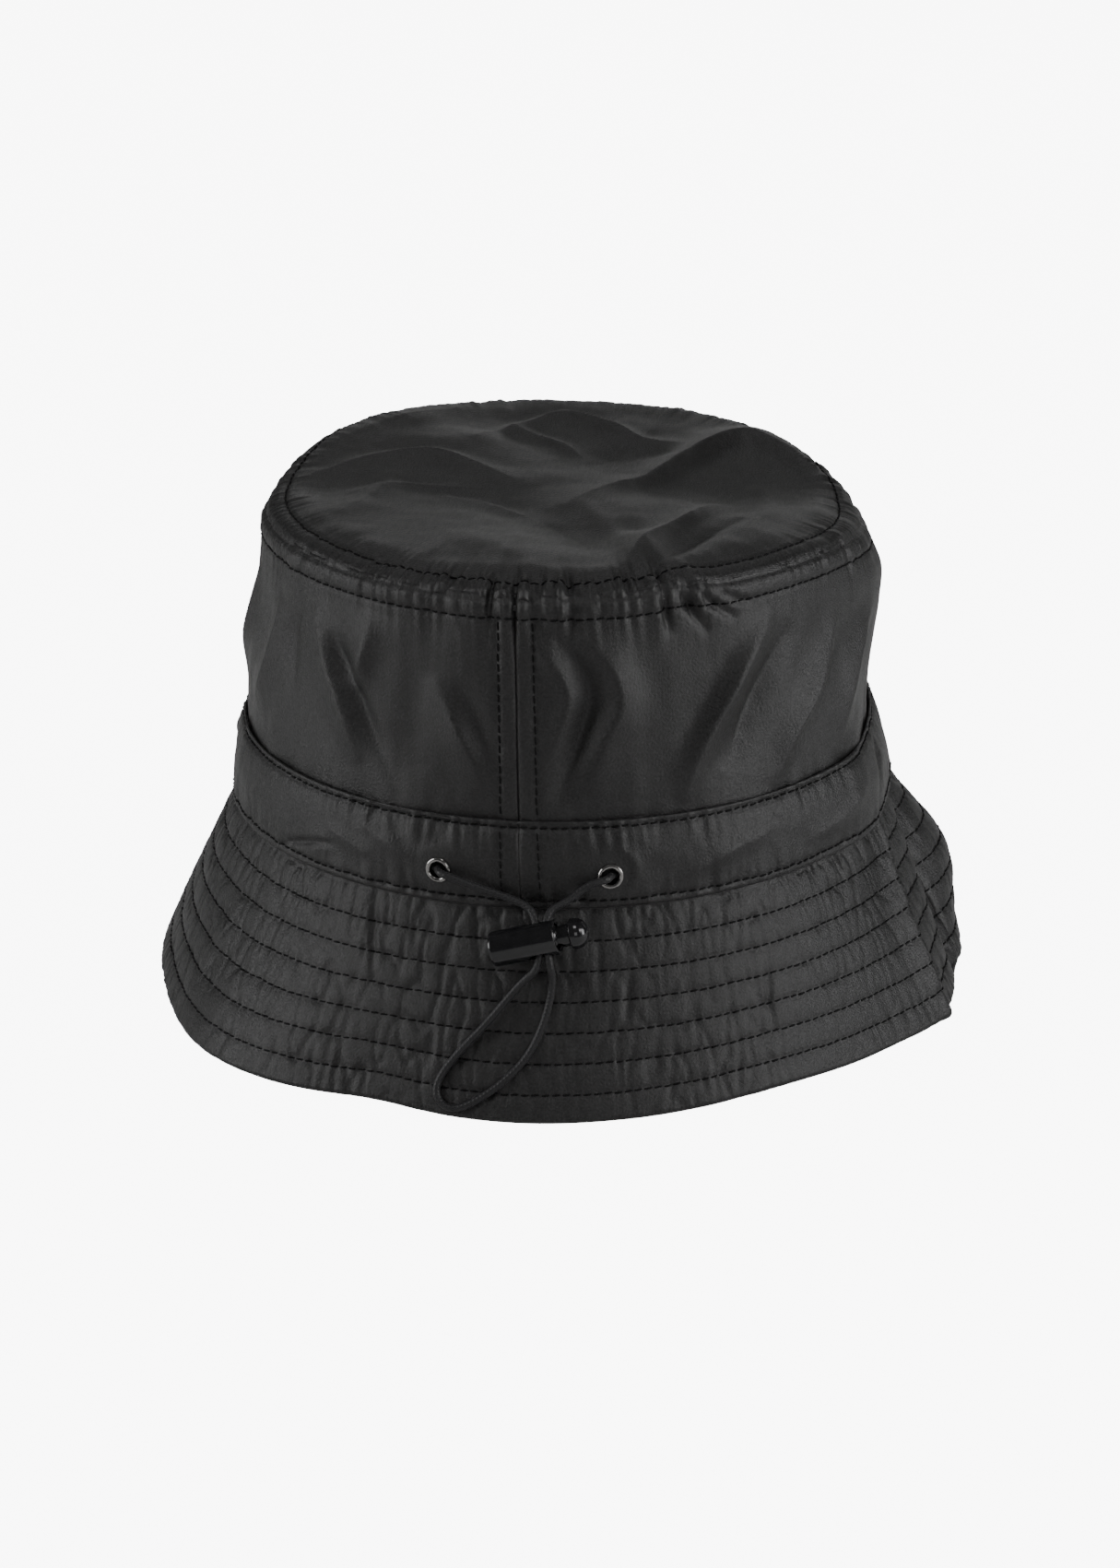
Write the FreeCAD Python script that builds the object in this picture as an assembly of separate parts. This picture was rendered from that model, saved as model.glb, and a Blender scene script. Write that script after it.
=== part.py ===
import FreeCAD, Part
import math
import os

os.makedirs("parts", exist_ok=True)

# A bucket hat standing on its hem. Millimetres, +Z up, the wearer looks along +Y, and the drawcord hangs at the back.
# The hat is an oval: every outline below is (side, z), where side is half the width across the hat, and the same
# outline is OVAL times as far from the middle at the front and the back.
OVAL = 1.05

# Heights of the seams above the hem
HEM_Z = 0.0
BRIM_TOP_Z = 51.9
CASING_TOP_Z = 75.5
TIP_SEAM_Z = 135.5

# Half widths of the seams
HEM_SIDE = 115.5
BRIM_TOP_SIDE = 92.8
PANEL_BOTTOM_SIDE = 91.2
PANEL_CORD_SIDE = 89.7          # the side panel at the height of the cord, behind the casing
PANEL_TOP_OF_CASING_SIDE = 89.0
TIP_SIDE = 82.8
TIP_RISE = 4.0                  # how far the crown's tip domes above its seam

# Cloth
CLOTH = 0.8                     # outer cloth, with its coating
CASING_CLOTH = 0.7
BRIM_PLY = 0.75                 # the brim's upper ply
INTERLINING = 0.8
UNDER_PLY = 0.85
HEM_TURN = 1.2                  # height of the upper ply's turn under the other plies
TAPE = 0.5                      # seam tape inside the crown
TAPE_WIDTH = 12.0
SWEATBAND = 1.2
SWEATBAND_TOP_Z = 84.0
LABEL_WIDTH = 16.0
LABEL_TOP_Z = 104.0

# Stitching: a row is a thin band of thread on the cloth
THREAD = 0.25
THREAD_HALF_WIDTH = 0.3
BRIM_ROWS = 6
BRIM_ROW_PITCH = 8.0            # measured down the slope of the brim, up from the hem
TOPSTITCH = 6.0                 # from the tip seam to the row on each side of it
SEAM_ROW = 5.0                  # from the back and front seams to the row on each side
CASING_TOP_ROW_Z = 74.0
CASING_BOTTOM_ROW_Z = 54.4
CASING_LAP = 2.1                # the casing's top edge lies on the crown over this height

# Eyelets
EYELET_X = 23.1
EYELET_Z = 61.0
EYELET_HOLE_R = 2.2
EYELET_R = 3.5
EYELET_BARREL_R = 2.5
EYELET_RISE = 0.6
WASHER_R = 3.8
WASHER_DEPTH = 1.06             # from the casing's outside to the washer, through cloth and patch
WASHER = 0.25
CLENCH_R = 3.1
PATCH = 0.25
PATCH_HALF_WIDTH = 7.0
PATCH_HALF_HEIGHT = 4.5

# Drawcord, a round elastic cord
CORD = 2.0
TUNNEL_SIDE = 91.1              # the cord's own line inside the casing
TUNNEL_FRONT = 95.4
TUNNEL_STAND_OFF = -2.7         # the cord's line behind the casing's outside, next to an eyelet
TUNNEL_START = (5.5, 244.5)     # the cord joins that line this far past the eyelet, and goes round from this angle
TUNNEL_CORNERS = 34

# Cord lock: a barrel with a sprung plunger, and a slot through both that pinches the two cords
BARREL_R = 4.75
BARREL_LENGTH = 18.4
BARREL_EDGE = 0.7
BORE_R = 3.7
BORE_DEPTH = 16.6
SLOT_WIDTH = 3.6
BARREL_SLOT = (1.9, 8.6)        # from and to, measured into the barrel from its open rim
PLUNGER_SLOT = (-2.2, 6.8)
PLUNGER_R = 3.55
PLUNGER_DEPTH = 10.6
NECK_R = 3.0
KNOB_GAP = 3.7                  # between the rim and the knob, which the press takes up
KNOB_R = 4.2
KNOB_LENGTH = 4.8
KNOB_SKIRT = 1.2                # straight part of the knob under its dome
KNOB_EDGE = 0.45
SPRING_WIRE = 0.45
SPRING_R = 2.5
SPRING_TURNS = 4.5
SPRING_CORNERS = 12             # points of its path for each turn
SPRING_CLEAR = 0.1              # at each end
CORD_DEPTHS = (5.4, 3.3)        # where the left and the right cord pass, measured in from the rim
LOCK_MIDDLE = (1.6, -107.8, 46.2)
LOCK_TILT = 15.8                # the rim's end is higher, in degrees
LOCK_TURN = 4.4                 # and further from the brim
SLOT_LEAN = 34.0                # the slot's lower end leans away from the brim, from straight down

ORIGIN = FreeCAD.Vector(0, 0, 0)
UP = FreeCAD.Vector(0, 0, 1)
BACK = 270.0
FRONT = 90.0

CASING_OUTSIDE = [
    (90.1, CASING_TOP_Z), (92.4, 69.5), (93.3, 66.0), (94.0, 55.0), (94.0, 53.6), (93.4, BRIM_TOP_Z),
]
PANEL_OUTSIDE = [
    (TIP_SIDE, TIP_SEAM_Z), (PANEL_TOP_OF_CASING_SIDE, CASING_TOP_Z),
    (PANEL_CORD_SIDE, 60.0), (PANEL_BOTTOM_SIDE, BRIM_TOP_Z),
]
BRIM_OUTSIDE = [(BRIM_TOP_SIDE, BRIM_TOP_Z), (HEM_SIDE, HEM_Z)]


def side_at(outline, z):
    """Half the width of an outline at a height, between its points."""
    for (side_a, z_a), (side_b, z_b) in zip(outline, outline[1:]):
        if z_b <= z <= z_a:
            return side_a + (side_b - side_a) * (z_a - z) / (z_a - z_b)
    raise ValueError("the outline does not reach height %g" % z)


def strip(outline, z_high, z_low, near, far):
    """The section of a layer that lies on an outline, from near to far outside it (inside it if negative)."""
    corners = [z for side, z in outline if z_low < z < z_high]
    heights = [z_high] + corners + [z_low]
    down = [(side_at(outline, z) + far, z) for z in heights]
    return down + [(side_at(outline, z) + near, z) for z in reversed(heights)]


def stretched(shape):
    """A round shape made oval."""
    matrix = FreeCAD.Matrix()
    matrix.A22 = OVAL
    return shape.transformGeometry(matrix)


def revolved(face, start, sweep):
    face.rotate(ORIGIN, UP, start)
    return stretched(face.revolve(ORIGIN, UP, sweep))


def ring(section, start=0.0, sweep=360.0):
    """The solid that a section makes round the hat, counted in degrees from +X towards +Y."""
    points = [FreeCAD.Vector(side, 0, z) for side, z in section]
    return revolved(Part.Face(Part.makePolygon(points + points[:1])), start, sweep)


def patch_at(section, middle, half_width):
    """A short length of a ring, half_width to each side of the angle called middle."""
    half = math.degrees(half_width / section[0][0])
    return ring(section, middle - half, 2 * half)


def save(node, shape):
    shape.exportStep("parts/%s.step" % node)
    print("%-24s %9.1f mm3  valid %s" % (node, shape.Volume, shape.isValid()))


# Crown

def dome_z(side, drop=0.0):
    """Height of the tip's outside, which is a shallow dome, less drop."""
    radius = (TIP_SIDE ** 2 + TIP_RISE ** 2) / (2 * TIP_RISE)
    return TIP_SEAM_Z + CLOTH + TIP_RISE - radius + math.sqrt(radius ** 2 - side ** 2) - drop


def dome_arc(side_a, side_b, drop):
    points = [FreeCAD.Vector(s, 0, dome_z(s, drop)) for s in (side_a, (side_a + side_b) / 2, side_b)]
    return Part.Arc(*points).toShape()


def dome_layer(side_a, side_b, top_drop, bottom_drop):
    """A disc or ring of cloth that follows the dome, between two drops below its outside."""
    top = dome_arc(side_a, side_b, top_drop)
    bottom = dome_arc(side_a, side_b, bottom_drop)
    ends = [
        Part.LineSegment(FreeCAD.Vector(s, 0, dome_z(s, top_drop)), FreeCAD.Vector(s, 0, dome_z(s, bottom_drop)))
        for s in (side_a, side_b)
    ]
    edges = Part.__sortEdges__([top, bottom] + [end.toShape() for end in ends])
    return revolved(Part.Face(Part.Wire(edges)), 0.0, 360.0)


def make_crown():
    save("crown_tip", dome_layer(0.0, TIP_SIDE, 0.0, CLOTH))
    panel = strip(PANEL_OUTSIDE, TIP_SEAM_Z, BRIM_TOP_Z, -CLOTH, 0.0)
    save("crown_side_left", ring(panel, FRONT, 180.0))
    save("crown_side_right", ring(panel, BACK, 180.0))


def make_seam_tapes():
    inner = -CLOTH
    reach = TAPE_WIDTH / 2
    corner = TIP_SIDE - CLOTH
    foot_z = TIP_SEAM_Z - reach
    foot = side_at(PANEL_OUTSIDE, foot_z) - CLOTH
    end = corner - reach
    end_z = dome_z(end, CLOTH)
    save("tip_seam_tape", ring([
        (foot, foot_z), (corner, TIP_SEAM_Z), (end, end_z),
        (end, end_z - TAPE), (corner - TAPE, TIP_SEAM_Z - TAPE), (foot - TAPE, foot_z),
    ]))
    seam = strip(PANEL_OUTSIDE, foot_z, SWEATBAND_TOP_Z, inner - TAPE, inner)
    save("back_seam_tape", patch_at(seam, BACK, TAPE_WIDTH / 2))
    save("front_seam_tape", patch_at(seam, FRONT, TAPE_WIDTH / 2))


def make_inside_bands():
    inner = -CLOTH
    band = strip(PANEL_OUTSIDE, SWEATBAND_TOP_Z, BRIM_TOP_Z, inner - SWEATBAND, inner)
    save("sweatband", ring(band))
    stitch_z = BRIM_TOP_Z + BRIM_PLY + THREAD_HALF_WIDTH
    inside = inner - SWEATBAND
    row = strip(PANEL_OUTSIDE, stitch_z + THREAD_HALF_WIDTH, stitch_z - THREAD_HALF_WIDTH, inside - THREAD, inside)
    save("sweatband_stitching", ring(row))
    under_tape = inner - TAPE
    label = strip(PANEL_OUTSIDE, LABEL_TOP_Z, SWEATBAND_TOP_Z, under_tape - TAPE, under_tape)
    save("care_label", patch_at(label, BACK, LABEL_WIDTH / 2))


# Casing: a strip of cloth round the foot of the crown, with the drawcord in the tunnel behind it

def casing_section():
    """Outside, then the foot that is caught in the brim seam, then the tunnel's face up to the stitched top edge."""
    t = CASING_CLOTH
    foot_z = BRIM_TOP_Z + t
    lap_z = CASING_TOP_Z - CASING_LAP
    foot = [(PANEL_BOTTOM_SIDE, BRIM_TOP_Z), (side_at(PANEL_OUTSIDE, foot_z), foot_z)]
    foot_side = CASING_OUTSIDE[-1][0] - t
    tunnel = [(foot_side, foot_z)] + [(side - t, z) for side, z in reversed(CASING_OUTSIDE[1:4])]
    lap = [(side_at(PANEL_OUTSIDE, z), z) for z in (lap_z, CASING_TOP_Z)]
    return CASING_OUTSIDE + foot + tunnel + lap


def skin_normal(outline, x, y, z):
    side = side_at(outline, z)
    step = 0.05
    slope = (side_at(outline, z - step) - side_at(outline, z + step)) / (2 * step)
    normal = FreeCAD.Vector(x, y / OVAL ** 2, side * slope)
    return normal.normalize()


def on_skin(x, z, stand_off):
    """A point at the hat's back, over the casing or the brim: across, up, and out from the cloth."""
    outline = CASING_OUTSIDE if z > BRIM_TOP_Z + 0.05 else BRIM_OUTSIDE
    y = -OVAL * math.sqrt(side_at(outline, z) ** 2 - x ** 2)
    return FreeCAD.Vector(x, y, z) + skin_normal(outline, x, y, z) * stand_off


def eyelet_placement(sign):
    middle = on_skin(sign * EYELET_X, EYELET_Z, 0.0)
    normal = (on_skin(sign * EYELET_X, EYELET_Z, 1.0) - middle).normalize()
    return FreeCAD.Placement(middle, FreeCAD.Rotation(UP, normal))


def turned(section, placement):
    """A small round piece: a section of (radius, height) turned about an axis through the placement."""
    points = [FreeCAD.Vector(r, 0, h) for r, h in section]
    shape = Part.Face(Part.makePolygon(points + points[:1])).revolve(ORIGIN, UP, 360)
    shape.Placement = placement
    return shape


def make_casing():
    section = casing_section()
    for name, sign, start in (("left", -1, FRONT), ("right", 1, BACK)):
        placement = eyelet_placement(sign)
        hole = Part.makeCylinder(EYELET_BARREL_R, 6.0, FreeCAD.Vector(0, 0, -3.0))
        hole.Placement = placement
        save("cord_casing_" + name, ring(section, start, 180.0).cut(hole))
        angle = math.degrees(math.asin(sign * EYELET_X / side_at(CASING_OUTSIDE, EYELET_Z)))
        inner = -CASING_CLOTH
        high, low = EYELET_Z + PATCH_HALF_HEIGHT, EYELET_Z - PATCH_HALF_HEIGHT
        patch = strip(CASING_OUTSIDE, high, low, inner - PATCH, inner)
        save("eyelet_patch_" + name, patch_at(patch, BACK + angle, PATCH_HALF_WIDTH).cut(hole))


def eyelet_solid(placement):
    """A rolled rim outside, a barrel through the cloth, and a clenched rim over the washer inside."""
    arc_steps = 8
    bulge = []
    for k in range(arc_steps + 1):
        angle = math.pi * k / arc_steps
        middle = (EYELET_HOLE_R + EYELET_R) / 2
        half = (EYELET_R - EYELET_HOLE_R) / 2
        bulge.append((middle - half * math.cos(angle), 0.05 + (EYELET_RISE - 0.05) * math.sin(angle)))
    clench = -WASHER_DEPTH - WASHER
    inside = [
        (EYELET_R, 0.0), (EYELET_BARREL_R, 0.0), (EYELET_BARREL_R, clench),
        (CLENCH_R, clench), (CLENCH_R, clench - WASHER), (EYELET_HOLE_R, clench - WASHER),
    ]
    return turned(bulge + inside, placement)


def make_eyelets():
    for name, sign in (("left", -1), ("right", 1)):
        placement = eyelet_placement(sign)
        save("eyelet_" + name, eyelet_solid(placement))
        low = -WASHER_DEPTH - WASHER
        washer = [
            (EYELET_BARREL_R, low), (WASHER_R, low), (WASHER_R, -WASHER_DEPTH), (EYELET_BARREL_R, -WASHER_DEPTH),
        ]
        save("eyelet_washer_" + name, turned(washer, placement))


# Brim: two plies of cloth with a stiff interlining between, each ply in a front and a back half

def make_brim():
    ply = -BRIM_PLY
    core = ply - INTERLINING
    under = core - UNDER_PLY
    turn_side = side_at(BRIM_OUTSIDE, HEM_TURN)
    turn = [(turn_side + under, HEM_TURN), (turn_side + ply, HEM_TURN)]
    below = [(HEM_SIDE, HEM_Z - HEM_TURN), (HEM_SIDE + under, HEM_Z - HEM_TURN), (HEM_SIDE + under, HEM_Z)]
    upper = BRIM_OUTSIDE + below + turn + [(BRIM_TOP_SIDE + ply, BRIM_TOP_Z)]
    reach = 3 * HEM_SIDE
    ground = Part.makeBox(2 * reach, 2 * reach, reach, FreeCAD.Vector(-reach, -reach, HEM_Z - reach))
    under_section = strip(BRIM_OUTSIDE, BRIM_TOP_Z, HEM_TURN, under, core)
    for name, start in (("back", 180.0), ("front", 0.0)):
        save("brim_upper_" + name, ring(upper, start, 180.0).cut(ground))
        save("brim_under_" + name, ring(under_section, start, 180.0))
    save("brim_interlining", ring(strip(BRIM_OUTSIDE, BRIM_TOP_Z, HEM_TURN, core, ply)))


# Stitching

def brim_row_section(z, inside):
    """A row's thread on the brim: on the top for inside 0, under it for the plies' whole thickness."""
    near, far = (0.0, THREAD) if inside == 0 else (-inside - THREAD, -inside)
    return strip(BRIM_OUTSIDE, z + THREAD_HALF_WIDTH, z - THREAD_HALF_WIDTH, near, far)


def make_brim_stitching():
    slope = math.hypot(HEM_SIDE - BRIM_TOP_SIDE, BRIM_TOP_Z)
    plies = BRIM_PLY + INTERLINING + UNDER_PLY
    for row in range(1, BRIM_ROWS + 1):
        z = BRIM_ROW_PITCH * row * BRIM_TOP_Z / slope
        threads = [ring(brim_row_section(z, inside)) for inside in (0, plies)]
        save("brim_stitch_row_%d" % row, Part.makeCompound(threads))


def make_crown_stitching():
    half = THREAD_HALF_WIDTH
    side = TIP_SIDE - TOPSTITCH
    save("tip_stitching_upper", dome_layer(side - half, side + half, -THREAD, 0.0))
    z = TIP_SEAM_Z - TOPSTITCH
    save("tip_stitching_lower", ring(strip(PANEL_OUTSIDE, z + half, z - half, 0.0, THREAD)))
    for name, z in (("top", CASING_TOP_ROW_Z), ("bottom", CASING_BOTTOM_ROW_Z)):
        section = strip(CASING_OUTSIDE, z + half, z - half, 0.0, THREAD)
        save("casing_stitching_" + name, ring(section))


def make_seam_stitching():
    """Two rows beside the back seam and two beside the front seam, on the side panels and on the casing."""
    gap = 2 * THREAD_HALF_WIDTH
    panel = strip(PANEL_OUTSIDE, TIP_SEAM_Z - TOPSTITCH - gap, CASING_TOP_Z + gap, 0.0, THREAD)
    casing = strip(CASING_OUTSIDE, CASING_TOP_ROW_Z - gap, CASING_BOTTOM_ROW_Z + gap, 0.0, THREAD)
    for name, middle in (("back", BACK), ("front", FRONT)):
        rows = []
        for sign in (-1, 1):
            for section in (panel, casing):
                away = math.degrees(SEAM_ROW / section[0][0])
                rows.append(patch_at(section, middle + sign * away, THREAD_HALF_WIDTH))
        save("%s_seam_stitching" % name, Part.makeCompound(rows))


# Round pieces that follow a path

def rounded_path(route):
    """Straight runs joined by tangent arcs, each as large as its two runs allow."""
    edges = []
    radii = []
    here = route[0]
    for before, corner, after in zip(route, route[1:], route[2:]):
        back = (before - corner).normalize()
        ahead = (after - corner).normalize()
        half_turn = (math.pi - back.getAngle(ahead)) / 2
        cut = 0.45 * min(before.distanceToPoint(corner), after.distanceToPoint(corner))
        radius = cut / math.tan(half_turn)
        start = corner + back * cut
        end = corner + ahead * cut
        to_centre = (back + ahead).normalize()
        middle = corner + to_centre * (radius / math.cos(half_turn) - radius)
        edges.append(Part.LineSegment(here, start).toShape())
        edges.append(Part.Arc(start, middle, end).toShape())
        radii.append(radius)
        here = end
    edges.append(Part.LineSegment(here, route[-1]).toShape())
    return edges, radii


def tube(route, diameter):
    """A round solid along a route, its path's length, and the radii of the path's arcs."""
    edges, radii = rounded_path(route)
    path = Part.Wire(edges)
    first = (route[1] - route[0]).normalize()
    section = Part.Wire(Part.Circle(route[0], first, diameter / 2).toShape())
    return path.makePipeShell([section], True, False), path.Length, radii


# Cord lock

def lock_frame():
    """The lock's own frame: X along the barrel from its middle to the open rim, Z up the slot."""
    tilt = math.radians(LOCK_TILT)
    turn = math.radians(LOCK_TURN)
    along = FreeCAD.Vector(
        math.cos(tilt) * math.cos(turn), -math.cos(tilt) * math.sin(turn), math.sin(tilt),
    )
    lean = math.radians(SLOT_LEAN)
    down = FreeCAD.Vector(0, -math.sin(lean), -math.cos(lean))
    down = (down - along * down.dot(along)).normalize()
    sideways = along.cross(down).normalize()
    rotation = FreeCAD.Rotation(along, sideways, down * -1, "XZY")
    return FreeCAD.Placement(FreeCAD.Vector(*LOCK_MIDDLE), rotation)


def in_lock(depth, up):
    """A point inside the cord lock: in from its rim, and up its slot from the barrel's own axis."""
    return lock_frame().multVec(FreeCAD.Vector(BARREL_LENGTH / 2 - depth, 0, up))


def along_barrel(section):
    """A piece turned about the barrel's axis: a section of (depth from the rim, radius)."""
    points = [FreeCAD.Vector(BARREL_LENGTH / 2 - depth, 0, radius) for depth, radius in section]
    face = Part.Face(Part.makePolygon(points + points[:1]))
    return face.revolve(ORIGIN, FreeCAD.Vector(1, 0, 0), 360)


def slot_cutter(span, width):
    """A slot with round ends through the whole barrel, from and to a depth below the rim."""
    radius = width / 2
    x_low = BARREL_LENGTH / 2 - span[1] + radius
    x_high = BARREL_LENGTH / 2 - span[0] - radius
    height = 4 * BARREL_R
    base = -height / 2
    middle = Part.makeBox(x_high - x_low, width, height, FreeCAD.Vector(x_low, -radius, base))
    ends = [Part.makeCylinder(radius, height, FreeCAD.Vector(x, 0, base)) for x in (x_low, x_high)]
    return middle.fuse(ends).removeSplitter()


def knob_section():
    """The plunger from its inner end to the top of its domed knob, as (depth, radius)."""
    steps = 8
    knob_base = -KNOB_GAP
    dome = []
    for k in range(steps + 1):
        angle = math.pi / 2 * k / steps
        depth = knob_base - KNOB_SKIRT - (KNOB_LENGTH - KNOB_SKIRT) * math.sin(angle)
        dome.append((depth, KNOB_R * math.cos(angle)))
    step = (PLUNGER_R - NECK_R) / 2
    stem = [
        (PLUNGER_DEPTH, 0.0), (PLUNGER_DEPTH, PLUNGER_R), (step, PLUNGER_R), (-step, NECK_R),
        (knob_base, NECK_R), (knob_base, KNOB_R - KNOB_EDGE), (knob_base - KNOB_EDGE, KNOB_R),
    ]
    return stem + dome


def spring_route():
    """Points along the spring, from the bottom of the bore to the plunger."""
    foot = BARREL_LENGTH / 2 - BORE_DEPTH + SPRING_WIRE / 2 + SPRING_CLEAR
    length = BORE_DEPTH - PLUNGER_DEPTH - SPRING_WIRE - 2 * SPRING_CLEAR
    turn = 2 * math.pi / SPRING_CORNERS
    radius = (SPRING_R - SPRING_WIRE / 2) / math.cos(turn / 2)
    last = int(SPRING_TURNS * SPRING_CORNERS)
    route = []
    for k in range(last + 1):
        route.append(FreeCAD.Vector(foot + length * k / last, radius * math.cos(k * turn), radius * math.sin(k * turn)))
    return route


def make_cord_lock():
    frame = lock_frame()
    edge = BARREL_EDGE
    barrel_section = [
        (0.0, BORE_R + 0.3), (0.0, BARREL_R - 0.25), (0.25, BARREL_R), (BARREL_LENGTH - edge, BARREL_R),
        (BARREL_LENGTH - edge * 0.3, BARREL_R - edge * 0.3), (BARREL_LENGTH, BARREL_R - edge),
        (BARREL_LENGTH, 0.0), (BORE_DEPTH, 0.0), (BORE_DEPTH, BORE_R), (0.3, BORE_R),
    ]
    barrel = along_barrel(barrel_section).cut(slot_cutter(BARREL_SLOT, SLOT_WIDTH))
    plunger = along_barrel(knob_section()).cut(slot_cutter(PLUNGER_SLOT, SLOT_WIDTH))
    spring = tube(spring_route(), SPRING_WIRE)[0]
    for node, shape in (("barrel", barrel), ("plunger", plunger), ("spring", spring)):
        shape.Placement = frame.multiply(shape.Placement)
        save("cord_lock_" + node, shape)


# Drawcord

def free_cord_route():
    """From the left eyelet down through the cord lock, round the loop, back up through it to the right eyelet."""
    left, right = CORD_DEPTHS
    return [
        on_skin(-EYELET_X, EYELET_Z, 0.0), on_skin(-22.0, 60.8, 2.0), on_skin(-18.6, 60.2, 2.3),
        on_skin(-12.4, 58.2, 1.9), on_skin(-5.4, 56.4, 1.9), on_skin(0.6, 55.0, 3.4),
        in_lock(left, 7.2), in_lock(left, -7.0),
        on_skin(0.9, 34.0, 4.6), on_skin(-7.4, 24.2, 2.5), on_skin(-14.4, 17.0, 1.8),
        on_skin(-18.6, 11.9, 1.6), on_skin(-20.9, 7.9, 1.5), on_skin(-20.8, 4.7, 1.5),
        on_skin(-18.5, 2.5, 1.4), on_skin(-15.1, 2.3, 1.4), on_skin(-10.4, 4.6, 1.5),
        on_skin(-3.4, 9.4, 1.6), on_skin(3.4, 16.4, 2.0), on_skin(7.4, 25.4, 3.2), on_skin(9.0, 34.2, 5.0),
        in_lock(right, -6.6), in_lock(right, 7.0),
        on_skin(12.4, 55.9, 3.0), on_skin(15.9, 58.9, 2.0), on_skin(19.4, 60.4, 2.3),
        on_skin(22.0, 60.8, 2.0), on_skin(EYELET_X, EYELET_Z, 0.0),
    ]


def tunnel_end(sign, outside):
    """Straight on from the free cord's run through an eyelet to the cord's line inside the casing."""
    eyelet = on_skin(sign * EYELET_X, EYELET_Z, 0.0)
    through = (eyelet - outside).normalize()
    normal = eyelet_placement(sign).Rotation.multVec(UP)
    inside = eyelet + through * (TUNNEL_STAND_OFF / through.dot(normal))
    return [eyelet, inside, on_skin(sign * (EYELET_X + TUNNEL_START[0]), EYELET_Z, TUNNEL_STAND_OFF)]


def tunnel_cord_route(free_route):
    """From the left eyelet, inside the casing round the front of the hat, to the right eyelet."""
    around = []
    start = TUNNEL_START[1]
    sweep = 2 * (start - FRONT)
    for k in range(TUNNEL_CORNERS + 1):
        angle = math.radians(start - sweep * k / TUNNEL_CORNERS)
        around.append(FreeCAD.Vector(TUNNEL_SIDE * math.cos(angle), TUNNEL_FRONT * math.sin(angle), EYELET_Z))
    return tunnel_end(-1, free_route[1]) + around + tunnel_end(1, free_route[-2])[::-1]


def make_drawcord():
    free_route = free_cord_route()
    for node, route in (("drawcord", free_route), ("drawcord_in_casing", tunnel_cord_route(free_route))):
        solid, length, radii = tube(route, CORD)
        share = solid.Volume / (math.pi * CORD ** 2 / 4 * length)
        print("%s: %.1f mm long, volume %.3f of section x length" % (node, length, share))
        print("   radii", " ".join("%.1f" % r for r in radii))
        save(node, solid)


make_crown()
make_seam_tapes()
make_inside_bands()
make_casing()
make_eyelets()
make_brim()
make_brim_stitching()
make_crown_stitching()
make_seam_stitching()
make_cord_lock()
make_drawcord()
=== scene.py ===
import bpy
import math
import numpy as np
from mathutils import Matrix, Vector


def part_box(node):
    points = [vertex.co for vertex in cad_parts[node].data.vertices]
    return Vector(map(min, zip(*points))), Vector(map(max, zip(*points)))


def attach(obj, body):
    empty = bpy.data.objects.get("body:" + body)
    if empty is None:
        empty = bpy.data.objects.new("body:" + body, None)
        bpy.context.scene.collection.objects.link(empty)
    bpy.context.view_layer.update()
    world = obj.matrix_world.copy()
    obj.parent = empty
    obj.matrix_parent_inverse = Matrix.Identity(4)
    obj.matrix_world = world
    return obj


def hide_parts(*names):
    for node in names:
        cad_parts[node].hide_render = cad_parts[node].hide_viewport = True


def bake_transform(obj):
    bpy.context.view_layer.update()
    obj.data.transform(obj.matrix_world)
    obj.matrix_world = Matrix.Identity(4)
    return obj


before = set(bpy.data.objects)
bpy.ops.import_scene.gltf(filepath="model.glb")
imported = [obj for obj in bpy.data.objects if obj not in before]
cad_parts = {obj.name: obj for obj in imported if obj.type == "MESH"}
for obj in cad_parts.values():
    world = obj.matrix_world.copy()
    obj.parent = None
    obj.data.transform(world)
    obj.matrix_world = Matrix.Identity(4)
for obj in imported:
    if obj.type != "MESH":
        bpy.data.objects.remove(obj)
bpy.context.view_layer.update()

# A bucket hat seen from behind. Lengths below are millimetres; MM turns them into the frame's metres.
# A place on the hat is (angle, height): the angle in degrees from +X towards +Y, so the back is at 270.
MM = 0.001
SEED = 20
BACK = 270.0
FRONT = BACK - 180.0

# ---- sizes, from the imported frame


def box_mm(node):
    """The low and the high corner of a node."""
    return np.array(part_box(node)) / MM


def middle_mm(node):
    return box_mm(node).mean(axis=0)


HEM_SIDE = box_mm("brim_upper_back")[1][0]
HEM_BACK = -box_mm("brim_upper_back")[0][1]
OVAL = HEM_BACK / HEM_SIDE
BRIM_TOP_Z = box_mm("brim_upper_back")[1][2]
BAND_TOP_Z = box_mm("cord_casing_left")[1][2]
BAND_SIDE = -box_mm("cord_casing_left")[0][0]
TIP_SEAM_Z = box_mm("crown_side_left")[1][2]
TIP_SIDE = box_mm("crown_tip")[1][0]
SWEATBAND_TOP_Z = box_mm("sweatband")[1][2]
LABEL_TOP_Z = box_mm("care_label")[1][2]
ROWS_Z = [middle_mm("brim_stitch_row_%d" % k)[2] for k in range(1, 7)]
EYELET_X, _, EYELET_Z = middle_mm("eyelet_right")

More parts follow.
